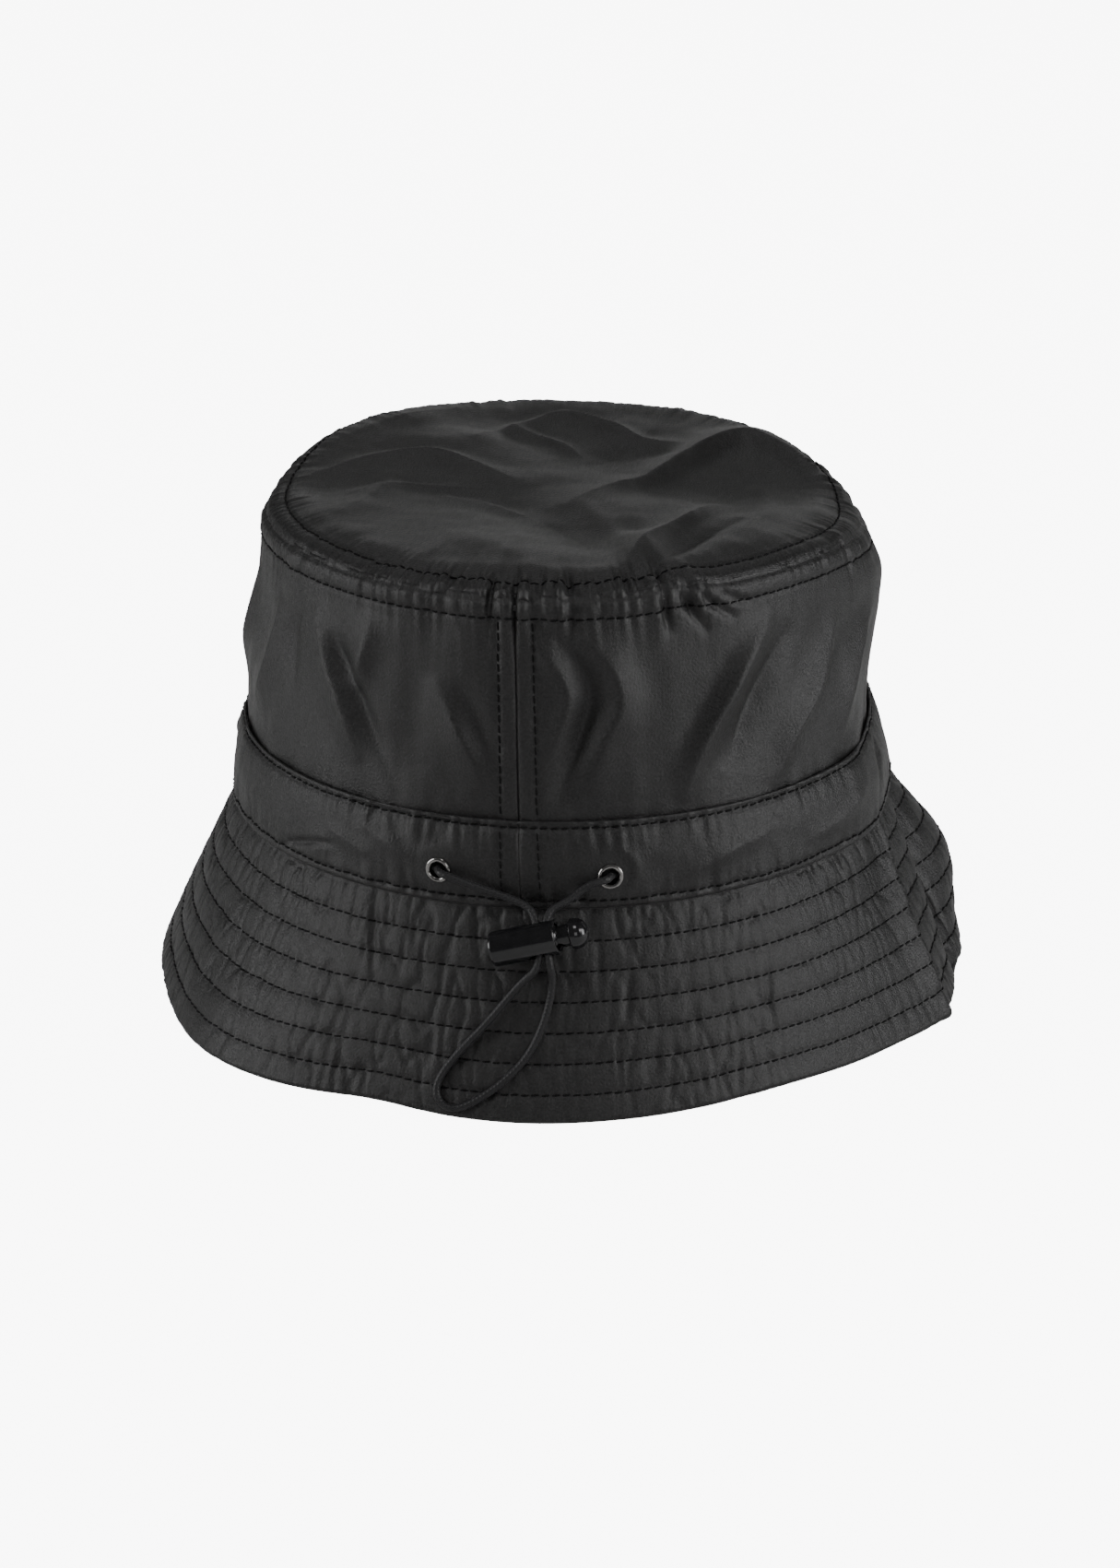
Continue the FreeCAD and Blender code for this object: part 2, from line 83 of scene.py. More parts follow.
BRIM_TOP_SIDE = BAND_SIDE - 1.2
SIDE_LOW_Z = 52.0               # where the crown's sides end, inside the band
PANEL_SIDES = [(SIDE_LOW_Z, 91.2), (60.0, 89.7), (BAND_TOP_Z, 89.0), (TIP_SEAM_Z, TIP_SIDE)]
SLOPE = math.hypot(HEM_SIDE - BRIM_TOP_SIDE, BRIM_TOP_Z)
TOPSTITCH = 6.0                 # how far rows of stitches lie from the tip's seam,
SEAM_ROW = 5.0                  # from the upright seams
BAND_TOP_ROW = 1.5              # and from the band's top
BAND_FOOT_ROW_Z = 54.4
STITCH = 2.8                    # from one needle hole to the next
THREAD_R = 0.25
CLOTH = 0.7                     # thickness
GRID = 0.8                      # distance between the points of a cloth surface
BAND_GRID = 0.75
UNDER_GRID = 1.1                # the brim's under ply, down its slope
SIDE_RADIUS = 88.0              # the crown's sides, the band, the brim and the seams, for lengths round the hat
BAND_RADIUS = 95.0
BRIM_RADIUS = 104.0
BRIM_GRID_RADIUS = 108.0
SEAM_RADIUS = 91.0
SIDE_ROWS = int((TIP_SEAM_Z - SIDE_LOW_Z) / GRID)
SIDE_STEP = (TIP_SEAM_Z - SIDE_LOW_Z) / SIDE_ROWS
TIP_EDGE_Z = TIP_SEAM_Z + 0.3   # top of the turned-in edges
TIP_GRID = 218                  # points across the tip; even, so that none lies in its very middle
TIP_TAPE_FOOT_Z = 129.5
SEAM_TAPE_TOP_Z = 129.0
TAPE_FOOT_Z = 84.0              # of the seams' tapes and the label, at the sweatband's top
SWEATBAND_ROW_Z = 53.4
TAPE_HALF = 6.0                 # half widths
LABEL_HALF = 8.0
PATCH_HALF = 7.0
# Layers: the depths under the cloth's face between which each of these lies.
FACE = (0.0, CLOTH)
TAPE_LAYER = (0.75, 1.2)
SWEATBAND_LAYER = (1.0, 2.1)
LABEL_LAYER = (1.3, 1.6)
PATCH_LAYER = (0.72, 0.95)
UPPER_PLY = (0.0, 0.75)
UNDER_PLY = (0.0, 0.85)
INTERLINING_LAYER = (1.0, 1.3)
EYELET_HOLE = 2.75              # radius of the hole in the cloth

# ---- camera and light

CAMERA_TURN = 5.9
CAMERA_LIFT = 21.175
CAMERA_DISTANCE = 1.3
CAMERA_LENS = 104.35
CAMERA_TARGET = Vector((-0.00027, 0.0, 0.0497))
FLOOR_HALF = 4.0
FLOOR_Z = -0.0003


def add_object(name, data, place=(0, 0, 0), facing=None):
    """An object in the scene; facing is the direction in which a camera or a light looks."""
    thing = bpy.data.objects.new(name, data)
    bpy.context.scene.collection.objects.link(thing)
    thing.location = place
    if facing is not None:
        thing.rotation_euler = facing.to_track_quat("-Z", "Y").to_euler()
    return thing


def make_camera():
    turn, lift = math.radians(CAMERA_TURN), math.radians(CAMERA_LIFT)
    forward = Vector((-math.sin(turn) * math.cos(lift), math.cos(turn) * math.cos(lift), -math.sin(lift)))
    data = bpy.data.cameras.new("camera")
    data.lens = CAMERA_LENS
    data.sensor_width = 36.0
    bpy.context.scene.camera = add_object("camera", data, CAMERA_TARGET - forward * CAMERA_DISTANCE, forward)


def area_light(name, place, size, power):
    """A softbox at a place, facing the middle of the hat."""
    data = bpy.data.lights.new(name, "AREA")
    data.shape = "RECTANGLE"
    data.size, data.size_y = size
    data.energy = power
    add_object(name, data, place, Vector((0, 0, 0.07)) - Vector(place))


def light_up(tree, socket, seen, lit):
    """Give a white surround one strength for what the camera sees of it, and one for its own light."""
    path = tree.nodes.new("ShaderNodeLightPath")
    strength = tree.nodes.new("ShaderNodeMapRange")
    strength.inputs["To Min"].default_value = lit
    strength.inputs["To Max"].default_value = seen
    tree.links.new(path.outputs["Is Camera Ray"], strength.inputs["Value"])
    tree.links.new(strength.outputs["Result"], socket)


def make_studio():
    world = bpy.data.worlds.new("studio")
    bpy.context.scene.world = world
    world.use_nodes = True
    background = world.node_tree.nodes["Background"].inputs
    background["Color"].default_value = (1.0, 1.0, 1.0, 1.0)
    light_up(world.node_tree, background["Strength"], 9.6, 0.08)

    mesh = bpy.data.meshes.new("floor")
    corners = [(x * FLOOR_HALF, y * FLOOR_HALF, FLOOR_Z) for x, y in ((-1, -1), (1, -1), (1, 1), (-1, 1))]
    mesh.from_pydata(corners, [], [(0, 1, 2, 3)])
    pale = Finish("pale_floor", (0.85, 0.85, 0.85), 0.9, Emission_Color=(1.0, 1.0, 1.0, 1.0))
    light_up(pale.tree, pale.shader["Emission Strength"], 8.4, 0.0)
    mesh.materials.append(pale.material)
    add_object("floor", mesh)

    area_light("left_softbox", (-1.0, -0.3, 0.42), (0.5, 0.7), 4.8)
    area_light("right_softbox", (1.0, -0.2, 0.42), (0.5, 0.7), 5.4)
    area_light("low_back_softbox", (0.1, 1.3, 0.27), (1.2, 0.22), 0.6)
    area_light("high_back_softbox", (-0.1, 0.7, 1.3), (0.7, 0.3), 1.25)
    area_light("top_softbox", (0.0, -0.5, 1.25), (0.4, 0.4), 1.8)
    area_light("front_fill", (0.5, -1.5, 0.6), (0.6, 0.6), 1.75)


# ---- noise and folds

_random = np.random.RandomState(SEED)
_shuffle = np.tile(_random.permutation(256), 2)
_slopes = _random.normal(size=(256, 3))
_slopes /= np.linalg.norm(_slopes, axis=1)[:, None]


def perlin(x, y, z):
    """Smooth noise between about -1 and 1 at arrays of places."""
    x, y, z = np.broadcast_arrays(x, y, z)
    place = np.stack([x, y, z], -1)
    cell = np.floor(place).astype(int)
    inside = place - cell
    cell &= 255
    fade = inside ** 3 * (inside * (inside * 6 - 15) + 10)
    total = np.zeros(x.shape)
    for corner in np.ndindex(2, 2, 2):
        k = _shuffle[cell[..., 0] + corner[0] & 255]
        k = _shuffle[k + cell[..., 1] + corner[1] & 255]
        k = _shuffle[k + cell[..., 2] + corner[2] & 255]
        weight = np.prod(np.where(corner, fade, 1 - fade), axis=-1)
        total += weight * np.sum(_slopes[k] * (inside - corner), axis=-1)
    return total * 1.6


def ring_noise(angle, height, along, up, part):
    """Noise round the hat, with features about along wide and up high; part picks an independent one."""
    turn = np.radians(angle)
    x = BAND_RADIUS * np.cos(turn) / along + 31.7 * part
    y = BAND_RADIUS * np.sin(turn) / along + 11.3 * part
    return perlin(x, y, height / up + 5.9 * part)


def smooth_step(x):
    x = np.clip(x, 0.0, 1.0)
    return x * x * (3 - 2 * x)


def hump(x, width):
    return np.exp(-(x / width) ** 2)


def turn_between(angle, middle):
    """The angle from middle, between -180 and 180."""
    return (angle - middle + 180.0) % 360.0 - 180.0


def smooth_line(points, steps=8):
    """A curve through the points."""
    p = np.array(points, float)
    p = np.vstack([2 * p[0] - p[1], p, 2 * p[-1] - p[-2]])
    line = []
    for a, b, c, d in zip(p, p[1:], p[2:], p[3:]):
        for t in np.arange(steps) / steps:
            square, cube = 2 * a - 5 * b + 4 * c - d, 3 * b - a - 3 * c + d
            line.append(0.5 * (2 * b + (c - a) * t + square * t ** 2 + cube * t ** 3))
    return np.array(line + [p[-2]])


def measured(line):
    """How far along a line each of its points lies."""
    return np.concatenate([[0.0], np.cumsum(np.linalg.norm(np.diff(line, axis=0), axis=1))])


def at_stops(stops, reach, values):
    """Values that are given at a line's points, at other places along the line."""
    return np.stack([np.interp(stops, reach, column) for column in values.T], -1)


def fold(u, v, points, height, width, lean=0.0):
    """A ridge (or, with a negative height, a valley) along a line on the cloth, dying out at both its ends.

    A soft trough lies each side of it. lean makes one flank steeper: the left one if positive."""
    line = smooth_line(points)
    best = np.full(np.shape(u), 1e9)
    side = np.zeros(np.shape(u))
    share = np.zeros(np.shape(u))
    count = len(line) - 1
    for k in range(count):
        a, b = line[k], line[k + 1]
        step = b - a
        length = step @ step
        t = np.clip(((u - a[0]) * step[0] + (v - a[1]) * step[1]) / length, 0, 1)
        du, dv = u - a[0] - t * step[0], v - a[1] - t * step[1]
        gap = np.hypot(du, dv)
        nearer = gap < best
        best = np.where(nearer, gap, best)
        side = np.where(nearer, np.sign(du * step[1] - dv * step[0]), side)
        share = np.where(nearer, (k + t) / count, share)
    ends = np.maximum(np.sin(np.pi * share), 0.0) ** 0.8
    across = best / (width * (1 + lean * side * np.sin(np.pi * share)))
    crest = 0.85 * np.exp(-across ** 2) + 0.45 * np.exp(-2.0 * across)
    return height * ends * (crest - 0.3 * np.exp(-(across / 2.2) ** 2))


def crease_lines(noise_value, sharp):
    """Narrow valleys where a noise crosses zero."""
    return -np.exp(-(noise_value / sharp) ** 2)


# ---- the shape of the whole hat

# Soft dents and swells of the whole hat: angle and its spread, height and its spread, outward, upward.
SWELLS = [
    (2, 17, 115, 17, 3.6, 0.0),
    (2, 17, 124, 8, 2.4, 0.0),
    (346, 15, 133, 26, 0.8, 0.0),
    (300, 6, 136, 9, -1.6, 1.6),
    (338, 9, 62, 17, 2.2, 0.0),
    (15, 12, 26, 18, 8.6, 0.0),
    (0, 20, 74, 14, -2.4, 0.0),
    (340, 8, 0, 28, 3.8, 0.0),
    (225, 18, 0, 26, 6.3, 0.0),
    (250, 8, 0, 22, -1.3, 0.9),
    (308, 14, 0, 24, -1.8, 1.0),
    (183, 14, 62, 16, -1.5, 0.0),
    (197, 10, 97, 10, 1.4, 0.0),
    (12, 30, 136, 24, 0.0, -5.8),
    (180, 16, 136, 20, 0.0, -2.2),
    (272, 12, 0, 26, 1.6, 0.0),
    (85, 22, 135, 24, 0.0, -1.2),
    (140, 24, 136, 24, 0.6, 1.4),
    (150, 15, 100, 24, -1.2, 0.0),
    (90, 14, 8, 24, 1.8, 0.9),
    (55, 14, 0, 24, -1.5, 1.4),
    (130, 15, 0, 24, -1.2, 1.0),
    (165, 12, 0, 24, 1.4, 0.2),
]
# The back seam leans to the left, going up: height and sideways shift.
SEAM_LEAN = [(51.9, 0.4), (78.0, 1.7), (107.0, 2.5), (135.5, 3.3)]


def warped(points):
    """The hat as it stands: points of the even, oval hat moved by its swells and by its seam's lean."""
    x, y, z = points[..., 0], points[..., 1], points[..., 2]
    angle = np.degrees(np.arctan2(y / OVAL, x)) % 360.0
    outward = np.zeros(x.shape)
    upward = np.zeros(x.shape)
    for middle, spread, height, height_spread, out, up in SWELLS:
        share = hump(turn_between(angle, middle), spread) * hump(z - height, height_spread)
        outward += out * share
        upward += up * share
    radius = np.maximum(np.hypot(x, y), 1e-6)
    outward = outward * smooth_step(radius / 60.0)
    upward = upward * smooth_step(radius / 70.0)
    lean = np.interp(z, [p[0] for p in SEAM_LEAN], [p[1] for p in SEAM_LEAN])
    twist = -lean * hump(turn_between(angle, BACK), 40.0) / radius * smooth_step(radius / 60.0)
    turned_x = x * np.cos(twist) - y * np.sin(twist)
    turned_y = x * np.sin(twist) + y * np.cos(twist)
    scale = 1 + outward / radius
    return np.stack([turned_x * scale, turned_y * scale, z + upward], -1)


def around(angle, side, z):
    turn = np.radians(angle)
    side, z, turn = np.broadcast_arrays(side, z, turn)
    return np.stack([side * np.cos(turn), side * OVAL * np.sin(turn), z], -1)


def panel_side(z):
    return np.interp(z, [p[0] for p in PANEL_SIDES], [p[1] for p in PANEL_SIDES])


# ---- cloth surfaces


class Surface:
    """A grid of points on the cloth: rows go along its section, columns round the hat or across."""

    def __init__(self, base, lift, cloth, closed=True):
        self.closed = closed
        self.cloth = cloth
        self.points = warped(base + grid_normals(base, closed) * lift[..., None])
        self.normals = grid_normals(self.points, closed)

    def column(self, angle):
        """The column at an angle, on the crown's sides or the band."""
        return ((angle - FRONT) % 360.0) / 360.0 * self.points.shape[1]

    def at(self, row, column):
        """The points and outward directions at fractional rows and columns."""
        rows, columns = self.points.shape[:2]
        row = np.clip(row, 0, rows - 1.001)
        i, j = np.floor(row).astype(int), np.floor(column).astype(int)
        fi, fj = (row - i)[..., None], (column - j)[..., None]
        j0, j1 = j % columns, (j + 1) % columns
        found = []
        for field in (self.points, self.normals):
            low = field[i, j0] * (1 - fj) + field[i, j1] * fj
            high = field[i + 1, j0] * (1 - fj) + field[i + 1, j1] * fj
            found.append(low * (1 - fi) + high * fi)
        return found[0], found[1] / np.linalg.norm(found[1], axis=-1)[..., None]


def swept(radius, spacing, first, side, z, along):
    """A section swept round the hat: its points, and every point's angle and place along the section."""
    columns = 2 * int(math.pi * radius / spacing)
    angle = (first + 360.0 * np.arange(columns) / columns)[None, :]
    base = around(angle, side[:, None], z[:, None])
    return base, *np.broadcast_arrays(angle, along[:, None])


def unrolled(angle, radius, along):
    """Places on the flat cloth."""
    return np.stack([np.radians(angle) * radius, along], -1)


def grid_normals(points, closed):
    """Unit normals of a grid of points: rows cross columns."""
    if closed:
        along = np.roll(points, -1, axis=1) - np.roll(points, 1, axis=1)
    else:
        along = np.gradient(points, axis=1)
    normal = np.cross(np.gradient(points, axis=0), along)
    return normal / np.maximum(np.linalg.norm(normal, axis=-1), 1e-9)[..., None]


def new_piece(name, vertices, faces, material, cloth, node, body="hat"):
    """A mesh that rides on a body and replaces a node; its place on the flat cloth is kept for the weave."""
    mesh = bpy.data.meshes.new(name)
    mesh.from_pydata((vertices * MM).tolist(), [], faces.tolist(), shade_flat=False)
    attribute = mesh.attributes.new("cloth", "FLOAT_VECTOR", "POINT")
    flat = np.concatenate([cloth, np.zeros((len(cloth), 1))], axis=1)
    attribute.data.foreach_set("vector", flat.astype(np.float32).ravel())
    mesh.materials.append(material)
    piece = add_object(name, mesh)
    material.name.split(".")[0]
    if body is not None:
        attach(piece, body)
    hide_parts(node)
    return piece


def grid_faces(rows, columns, closed):
    i, j = np.meshgrid(np.arange(rows - 1), np.arange(columns if closed else columns - 1), indexing="ij")
    here, ahead = i * columns + j, i * columns + (j + 1) % columns
    return np.stack([here, here + columns, ahead + columns, ahead], -1).reshape(-1, 4)


def shell(name, node, surface, layer, material, columns=None, rows=(0, None), stride=1, keep=None):
    """A layer of cloth between two depths below a surface, over some rows and columns, closed all round.

    keep says which of the surface's squares stay, from their middles."""
    whole = surface.points.shape[1]
    first, last = columns or (0, whole)
    take = np.arange(first, last, stride) % whole
    points, normals, cloth = (
        field[rows[0]:rows[1]:stride][:, take] for field in (surface.points, surface.normals, surface.cloth))
    outer, inner = ((points - normals * depth).reshape(-1, 3) for depth in layer)
    quads = grid_faces(*points.shape[:2], surface.closed and columns is None)
    if keep is not None:
        quads = quads[keep(outer[quads].mean(axis=1))]
    count = len(outer)
    # An edge that belongs to one square only is on the rim.
    edges = np.concatenate([quads[:, [k, (k + 1) % 4]] for k in range(4)])
    edge_numbers = np.sort(edges, axis=1) @ [count, 1]
    _, place, uses = np.unique(edge_numbers, return_index=True, return_counts=True)
    here, ahead = edges[place[uses == 1]].T
    rim = np.stack([ahead, here, here + count, ahead + count], -1)
    used, faces = np.unique(np.concatenate([quads, quads[:, ::-1] + count, rim]), return_inverse=True)
    vertices = np.concatenate([outer, inner])[used]
    flat = np.tile(cloth.reshape(-1, 2), (2, 1))[used]
    return new_piece(name, vertices, faces.reshape(-1, 4), material, flat, node)


# ---- materials


class Finish:
    """A material with its plain values on the shader's own sockets, and the nodes that vary the rest."""

    def __init__(self, name, color, roughness, **sockets):
        self.material = bpy.data.materials.new(name)
        self.material.use_nodes = True
        self.tree = self.material.node_tree
        self.shader = self.tree.nodes["Principled BSDF"].inputs
        self.shader["Base Color"].default_value = (*color, 1.0)
        self.shader["Roughness"].default_value = roughness
        for socket, value in sockets.items():
            self.shader[socket.replace("_", " ")].default_value = value

    def node(self, kind, **values):
        made = self.tree.nodes.new(kind)
        for name, value in values.items():
            setattr(made, name, value)
        return made

    def cloth_place(self):
        """The place on the flat cloth, in mm."""
        return self.node("ShaderNodeAttribute", attribute_name="cloth").outputs["Vector"]

    def split(self, place):
        """The two lengths of a place on the flat cloth: along and across."""
        lengths = self.node("ShaderNodeSeparateXYZ")
        self.tree.links.new(place, lengths.inputs[0])
        return lengths.outputs[0], lengths.outputs[1]

    def solid_place(self):
        return self.node("ShaderNodeTexCoord").outputs["Object"]

    def noise(self, vector, scale, detail=3.0, stretch=(1, 1, 1)):
        mapping = self.node("ShaderNodeMapping")
        mapping.inputs["Scale"].default_value = stretch
        self.tree.links.new(vector, mapping.inputs["Vector"])
        noise = self.node("ShaderNodeTexNoise")
        noise.inputs["Scale"].default_value = scale
        noise.inputs["Detail"].default_value = detail
        self.tree.links.new(mapping.outputs["Vector"], noise.inputs["Vector"])
        return noise.outputs["Fac"]

    def math(self, operation, *inputs):
        made = self.node("ShaderNodeMath", operation=operation)
        for k, value in enumerate(inputs):
            if isinstance(value, (int, float)):
                made.inputs[k].default_value = value
            else:
                self.tree.links.new(value, made.inputs[k])
        return made.outputs[0]

    def wave(self, value, pitch):
        """A sine of a length in mm that repeats every pitch mm."""
        return self.math("SINE", self.math("MULTIPLY", value, 2 * math.pi / pitch))

    def mix(self, first, share, second):
        """share of the first value, and the rest of the second."""
        return self.math("ADD", self.math("MULTIPLY", first, share), self.math("MULTIPLY", second, 1 - share))

    def bump(self, height, strength, distance, under=None):
        made = self.node("ShaderNodeBump")
        made.inputs["Strength"].default_value = strength
        made.inputs["Distance"].default_value = distance
        self.tree.links.new(height, made.inputs["Height"])
        if under is not None:
            self.tree.links.new(under, made.inputs["Normal"])
        return made.outputs["Normal"]

    def color(self, share, dark, light):
        """Colour from dark to light as a noise rises."""
        ramp = self.node("ShaderNodeValToRGB")
        for element, position, shade in zip(ramp.color_ramp.elements, (0.3, 0.7), (dark, light)):
            element.position = position
            element.color = (*shade, 1.0)
        self.tree.links.new(share, ramp.inputs["Fac"])
        self.tree.links.new(ramp.outputs["Color"], self.shader["Base Color"])

    def roughness(self, value, low, high):
        """Roughness from low to high as a noise rises."""
        made = self.node("ShaderNodeMapRange")
        for name, number in (("From Min", 0.25), ("From Max", 0.75), ("To Min", low), ("To Max", high)):
            made.inputs[name].default_value = number
        self.tree.links.new(value, made.inputs["Value"])
        self.tree.links.new(made.outputs["Result"], self.shader["Roughness"])

    def relief(self, normal):
        self.tree.links.new(normal, self.shader["Normal"])
        return self.material


def woven(name, dark, light, pitch, roughness, sheen, weave_depth, specular=0.5):
    """Woven cloth: threads both ways over its cloth coordinates, slubs along them, and a soft sheen."""
    made = Finish(
        name, dark, roughness, Sheen_Weight=sheen, Sheen_Roughness=0.45, Specular_IOR_Level=specular)
    place = made.cloth_place()
    along, across = made.split(place)
    weft = made.math("MULTIPLY", made.wave(across, pitch), 0.8)
    weave = made.math("MULTIPLY", made.wave(along, pitch), weft)
    slub = made.noise(place, 1.3, 2.0, (1.0, 0.14, 1.0))
    grain = made.noise(place, 1.5, 3.0)
    made.color(made.mix(grain, 0.75, made.noise(place, 0.035, 3.0)), dark, light)
    made.roughness(made.mix(slub, 0.35, grain), roughness - 0.1, roughness + 0.12)
    normal = made.bump(slub, 0.35, 0.00012, made.bump(weave, 0.35, weave_depth))
    return made.relief(made.bump(grain, 0.9, 0.00022, normal))


def knitted(name, dark, light, pitch):
    """Brushed knit for the sweatband and the tapes: small chevrons and a nap."""
    made = Finish(name, dark, 0.85, Sheen_Weight=0.35, Sheen_Roughness=0.6)
    place = made.cloth_place()
    along, across = made.split(place)
    column = made.wave(along, pitch)
    slant = made.math("ADD", across, made.math("MULTIPLY", made.math("ABSOLUTE", column), 0.5 * pitch))
    loops = made.math("MULTIPLY", made.wave(slant, pitch), column)
    nap = made.noise(place, 2.2, 4.0)
    made.color(nap, dark, light)
    return made.relief(made.bump(nap, 0.3, 0.0003, made.bump(loops, 0.5, 0.00025)))


def pressed_fibre(name, dark, light):
    """Non-woven interlining and patches: random fibres."""
    made = Finish(name, dark, 0.9, Sheen_Weight=0.2)
    fibre = made.noise(made.cloth_place(), 1.8, 6.0, (1.0, 0.25, 1.0))
    made.color(fibre, dark, light)
    return made.relief(made.bump(fibre, 0.4, 0.0002))


def spun_thread(name, dark, light):
    """Two-ply polyester thread: a twist along each stitch, which runs with its cloth coordinate."""
    made = Finish(name, dark, 0.6, Specular_IOR_Level=0.22)
    place = made.cloth_place()
    along, across = made.split(place)
    twist = made.math("ADD", made.math("MULTIPLY", along, 9.0), made.math("MULTIPLY", across, 2.0))
    fibre = made.noise(place, 6.0, 3.0, (1.0, 0.3, 1.0))
    made.color(fibre, dark, light)
    return made.relief(made.bump(fibre, 0.2, 0.00005, made.bump(made.math("SINE", twist), 0.6, 0.00008)))


def braided_cover(name, dark, light):
    """The drawcord's cover, whose strands are in its mesh: fibres and a little lint."""
    made = Finish(name, (0.01, 0.01, 0.011), 0.4, Sheen_Weight=0.08, Sheen_Roughness=0.4)
    fibre = made.noise(made.cloth_place(), 5.0, 3.0, (1.0, 0.4, 1.0))
    made.color(fibre, dark, light)
    return made.relief(made.bump(fibre, 0.3, 0.00006))


def moulded_plastic(name, dark, light):
    """Gloss black moulding with faint flow marks and fine scratches; its sharp edges are eased."""
    made = Finish(name, (0.008, 0.008, 0.009), 0.16, Specular_IOR_Level=0.6, Coat_Weight=0.2)
    place = made.solid_place()
    flow = made.noise(place, 260.0, 2.0)
    made.color(flow, dark, light)
    made.roughness(made.noise(place, 900.0, 4.0, (1.0, 0.08, 0.4)), 0.10, 0.19)
    eased = made.node("ShaderNodeBevel", samples=4)
    eased.inputs["Radius"].default_value = 0.00025
    return made.relief(made.bump(flow, 0.02, 0.0001, eased.outputs["Normal"]))


def plated_metal(name, dark, light, low, high):
    """Plated or bright metal with wear: patches of roughness and fine scratches."""
    made = Finish(name, dark, low, Metallic=1.0)
    wear = made.noise(made.solid_place(), 700.0, 4.0)
    made.color(wear, dark, light)
    made.roughness(wear, low, high)
    return made.relief(made.bump(wear, 0.08, 0.0001))


SHELL_CLOTH = woven(
    "shell_cloth", (0.003, 0.0029, 0.0029), (0.021, 0.0207, 0.0205), 0.45, 0.37, 0.06, 0.0001, specular=0.58)
THREAD = spun_thread("thread", (0.002, 0.002, 0.002), (0.006, 0.006, 0.006))
TAPE = knitted("seam_tape", (0.018, 0.018, 0.019), (0.03, 0.03, 0.032), 0.6)
SWEATBAND_CLOTH = knitted("sweatband_cloth", (0.022, 0.022, 0.024), (0.04, 0.04, 0.043), 0.9)
LABEL_CLOTH = woven("label_cloth", (0.62, 0.62, 0.60), (0.72, 0.72, 0.70), 0.3, 0.45, 0.2, 0.00008)
INTERLINING = pressed_fibre("interlining", (0.03, 0.03, 0.03), (0.05, 0.05, 0.05))
PATCH_CLOTH = pressed_fibre("patch_cloth", (0.03, 0.03, 0.03), (0.06, 0.06, 0.06))
CORD_COVER = braided_cover("cord_braid", (0.004, 0.004, 0.005), (0.030, 0.030, 0.031))
LOCK_PLASTIC = moulded_plastic("lock_plastic", (0.006, 0.006, 0.007), (0.012, 0.012, 0.013))
EYELET_METAL = plated_metal("eyelet_metal", (0.30, 0.29, 0.28), (0.42, 0.41, 0.40), 0.1, 0.2)
SPRING_STEEL = plated_metal("spring_steel", (0.5, 0.5, 0.51), (0.62, 0.62, 0.63), 0.2, 0.35)


# ---- puckers


def gathers(angle, away, along, reach, part):
    """Small ridges that run away from a seam or a row of stitches and die out over their reach."""
    fine = ring_noise(angle, away, along, 3.0 * reach, part)
    broad = ring_noise(angle, away, 2.3 * along, 4.0 * reach, part + 1)
    narrow = crease_lines(ring_noise(angle, away, 1.6 * along, 3.0 * reach, part + 2), 0.2)
    patchy = smooth_step(0.55 + 0.9 * ring_noise(angle, 0.0, 26.0, 50.0, part + 2))
    return (0.6 * fine + 0.45 * broad + 0.28 * narrow) * np.exp(-(away / reach) ** 2) * (0.35 + 0.65 * patchy)


def near_eyelets(angle, z):
    """1 at an eyelet, 0 away from it, so that the cloth lies flat under its rim."""
    share = np.zeros(np.broadcast(angle, z).shape)
    turn = math.degrees(math.asin(EYELET_X / (BAND_SIDE - 0.4)))
    for sign in (-1, 1):
        across = np.radians(turn_between(angle, BACK + sign * turn)) * 96.0
        share = np.maximum(share, smooth_step((8.0 - np.hypot(across, z - EYELET_Z)) / 3.5))
    return share


def seam_relief(angle, z, radius):
    """Across the back and front seams: the seam's groove, its raised allowances, and its two rows."""
    relief = np.zeros(np.broadcast(angle, z).shape)
    wander = ring_noise(angle, z, 5.0, 3.2, 41)
    for middle in (BACK, FRONT):
        across = np.radians(turn_between(angle, middle)) * radius
        relief += 0.28 * smooth_step((SEAM_ROW + 1.2 - np.abs(across)) / 1.2)
        relief -= 0.5 * hump(across, 0.6)
        relief -= 0.5 * hump(np.abs(across) - SEAM_ROW, 0.8)
        relief += 0.30 * wander * hump(np.abs(across) - SEAM_ROW, 2.6)
    return relief


# ---- crown

TIP_FOLDS = [
    ([(-76, 0), (-56, 16), (-41, 22), (-27, 16), (-12, 4)], 2.2, 5.2, 0.3),
    ([(2, -16), (14, 0), (24, 12), (31, 26), (39, 42), (49, 49), (60, 42), (72, 26), (82, 4)],
     3.2, 6.0, -0.3),
    ([(-30, 34), (-16, 54), (-6, 64), (6, 58), (18, 47), (32, 42)], 2.3, 4.6, 0.3),
    ([(-22, 52), (-6, 40), (6, 24)], 1.5, 3.6),
    ([(-50, 6), (-26, -8), (-8, -20), (6, -34), (15, -50), (22, -72)], -2.6, 13.0),
    ([(24, -82), (29, -56), (33, -40), (39, -24), (46, -4)], 2.7, 4.8, -0.4),
    ([(32, -82), (37, -58), (43, -40), (52, -24)], -2.4, 4.0),
    ([(-58, -14), (-40, -3), (-22, 0)], 1.6, 5.0, 0.2),
    ([(-34, -8), (-16, -16), (2, -28)], 1.4, 4.4, 0.2),
    ([(-58, -34), (-50, -14), (-46, 12)], 1.2, 8.0),
    ([(48, -42), (58, -16), (54, 20)], 1.4, 8.0),
    ([(-70, 24), (-50, 50), (-26, 72)], 1.2, 8.0),
    ([(4, 16), (14, 36), (26, 64)], -1.4, 9.0),
]
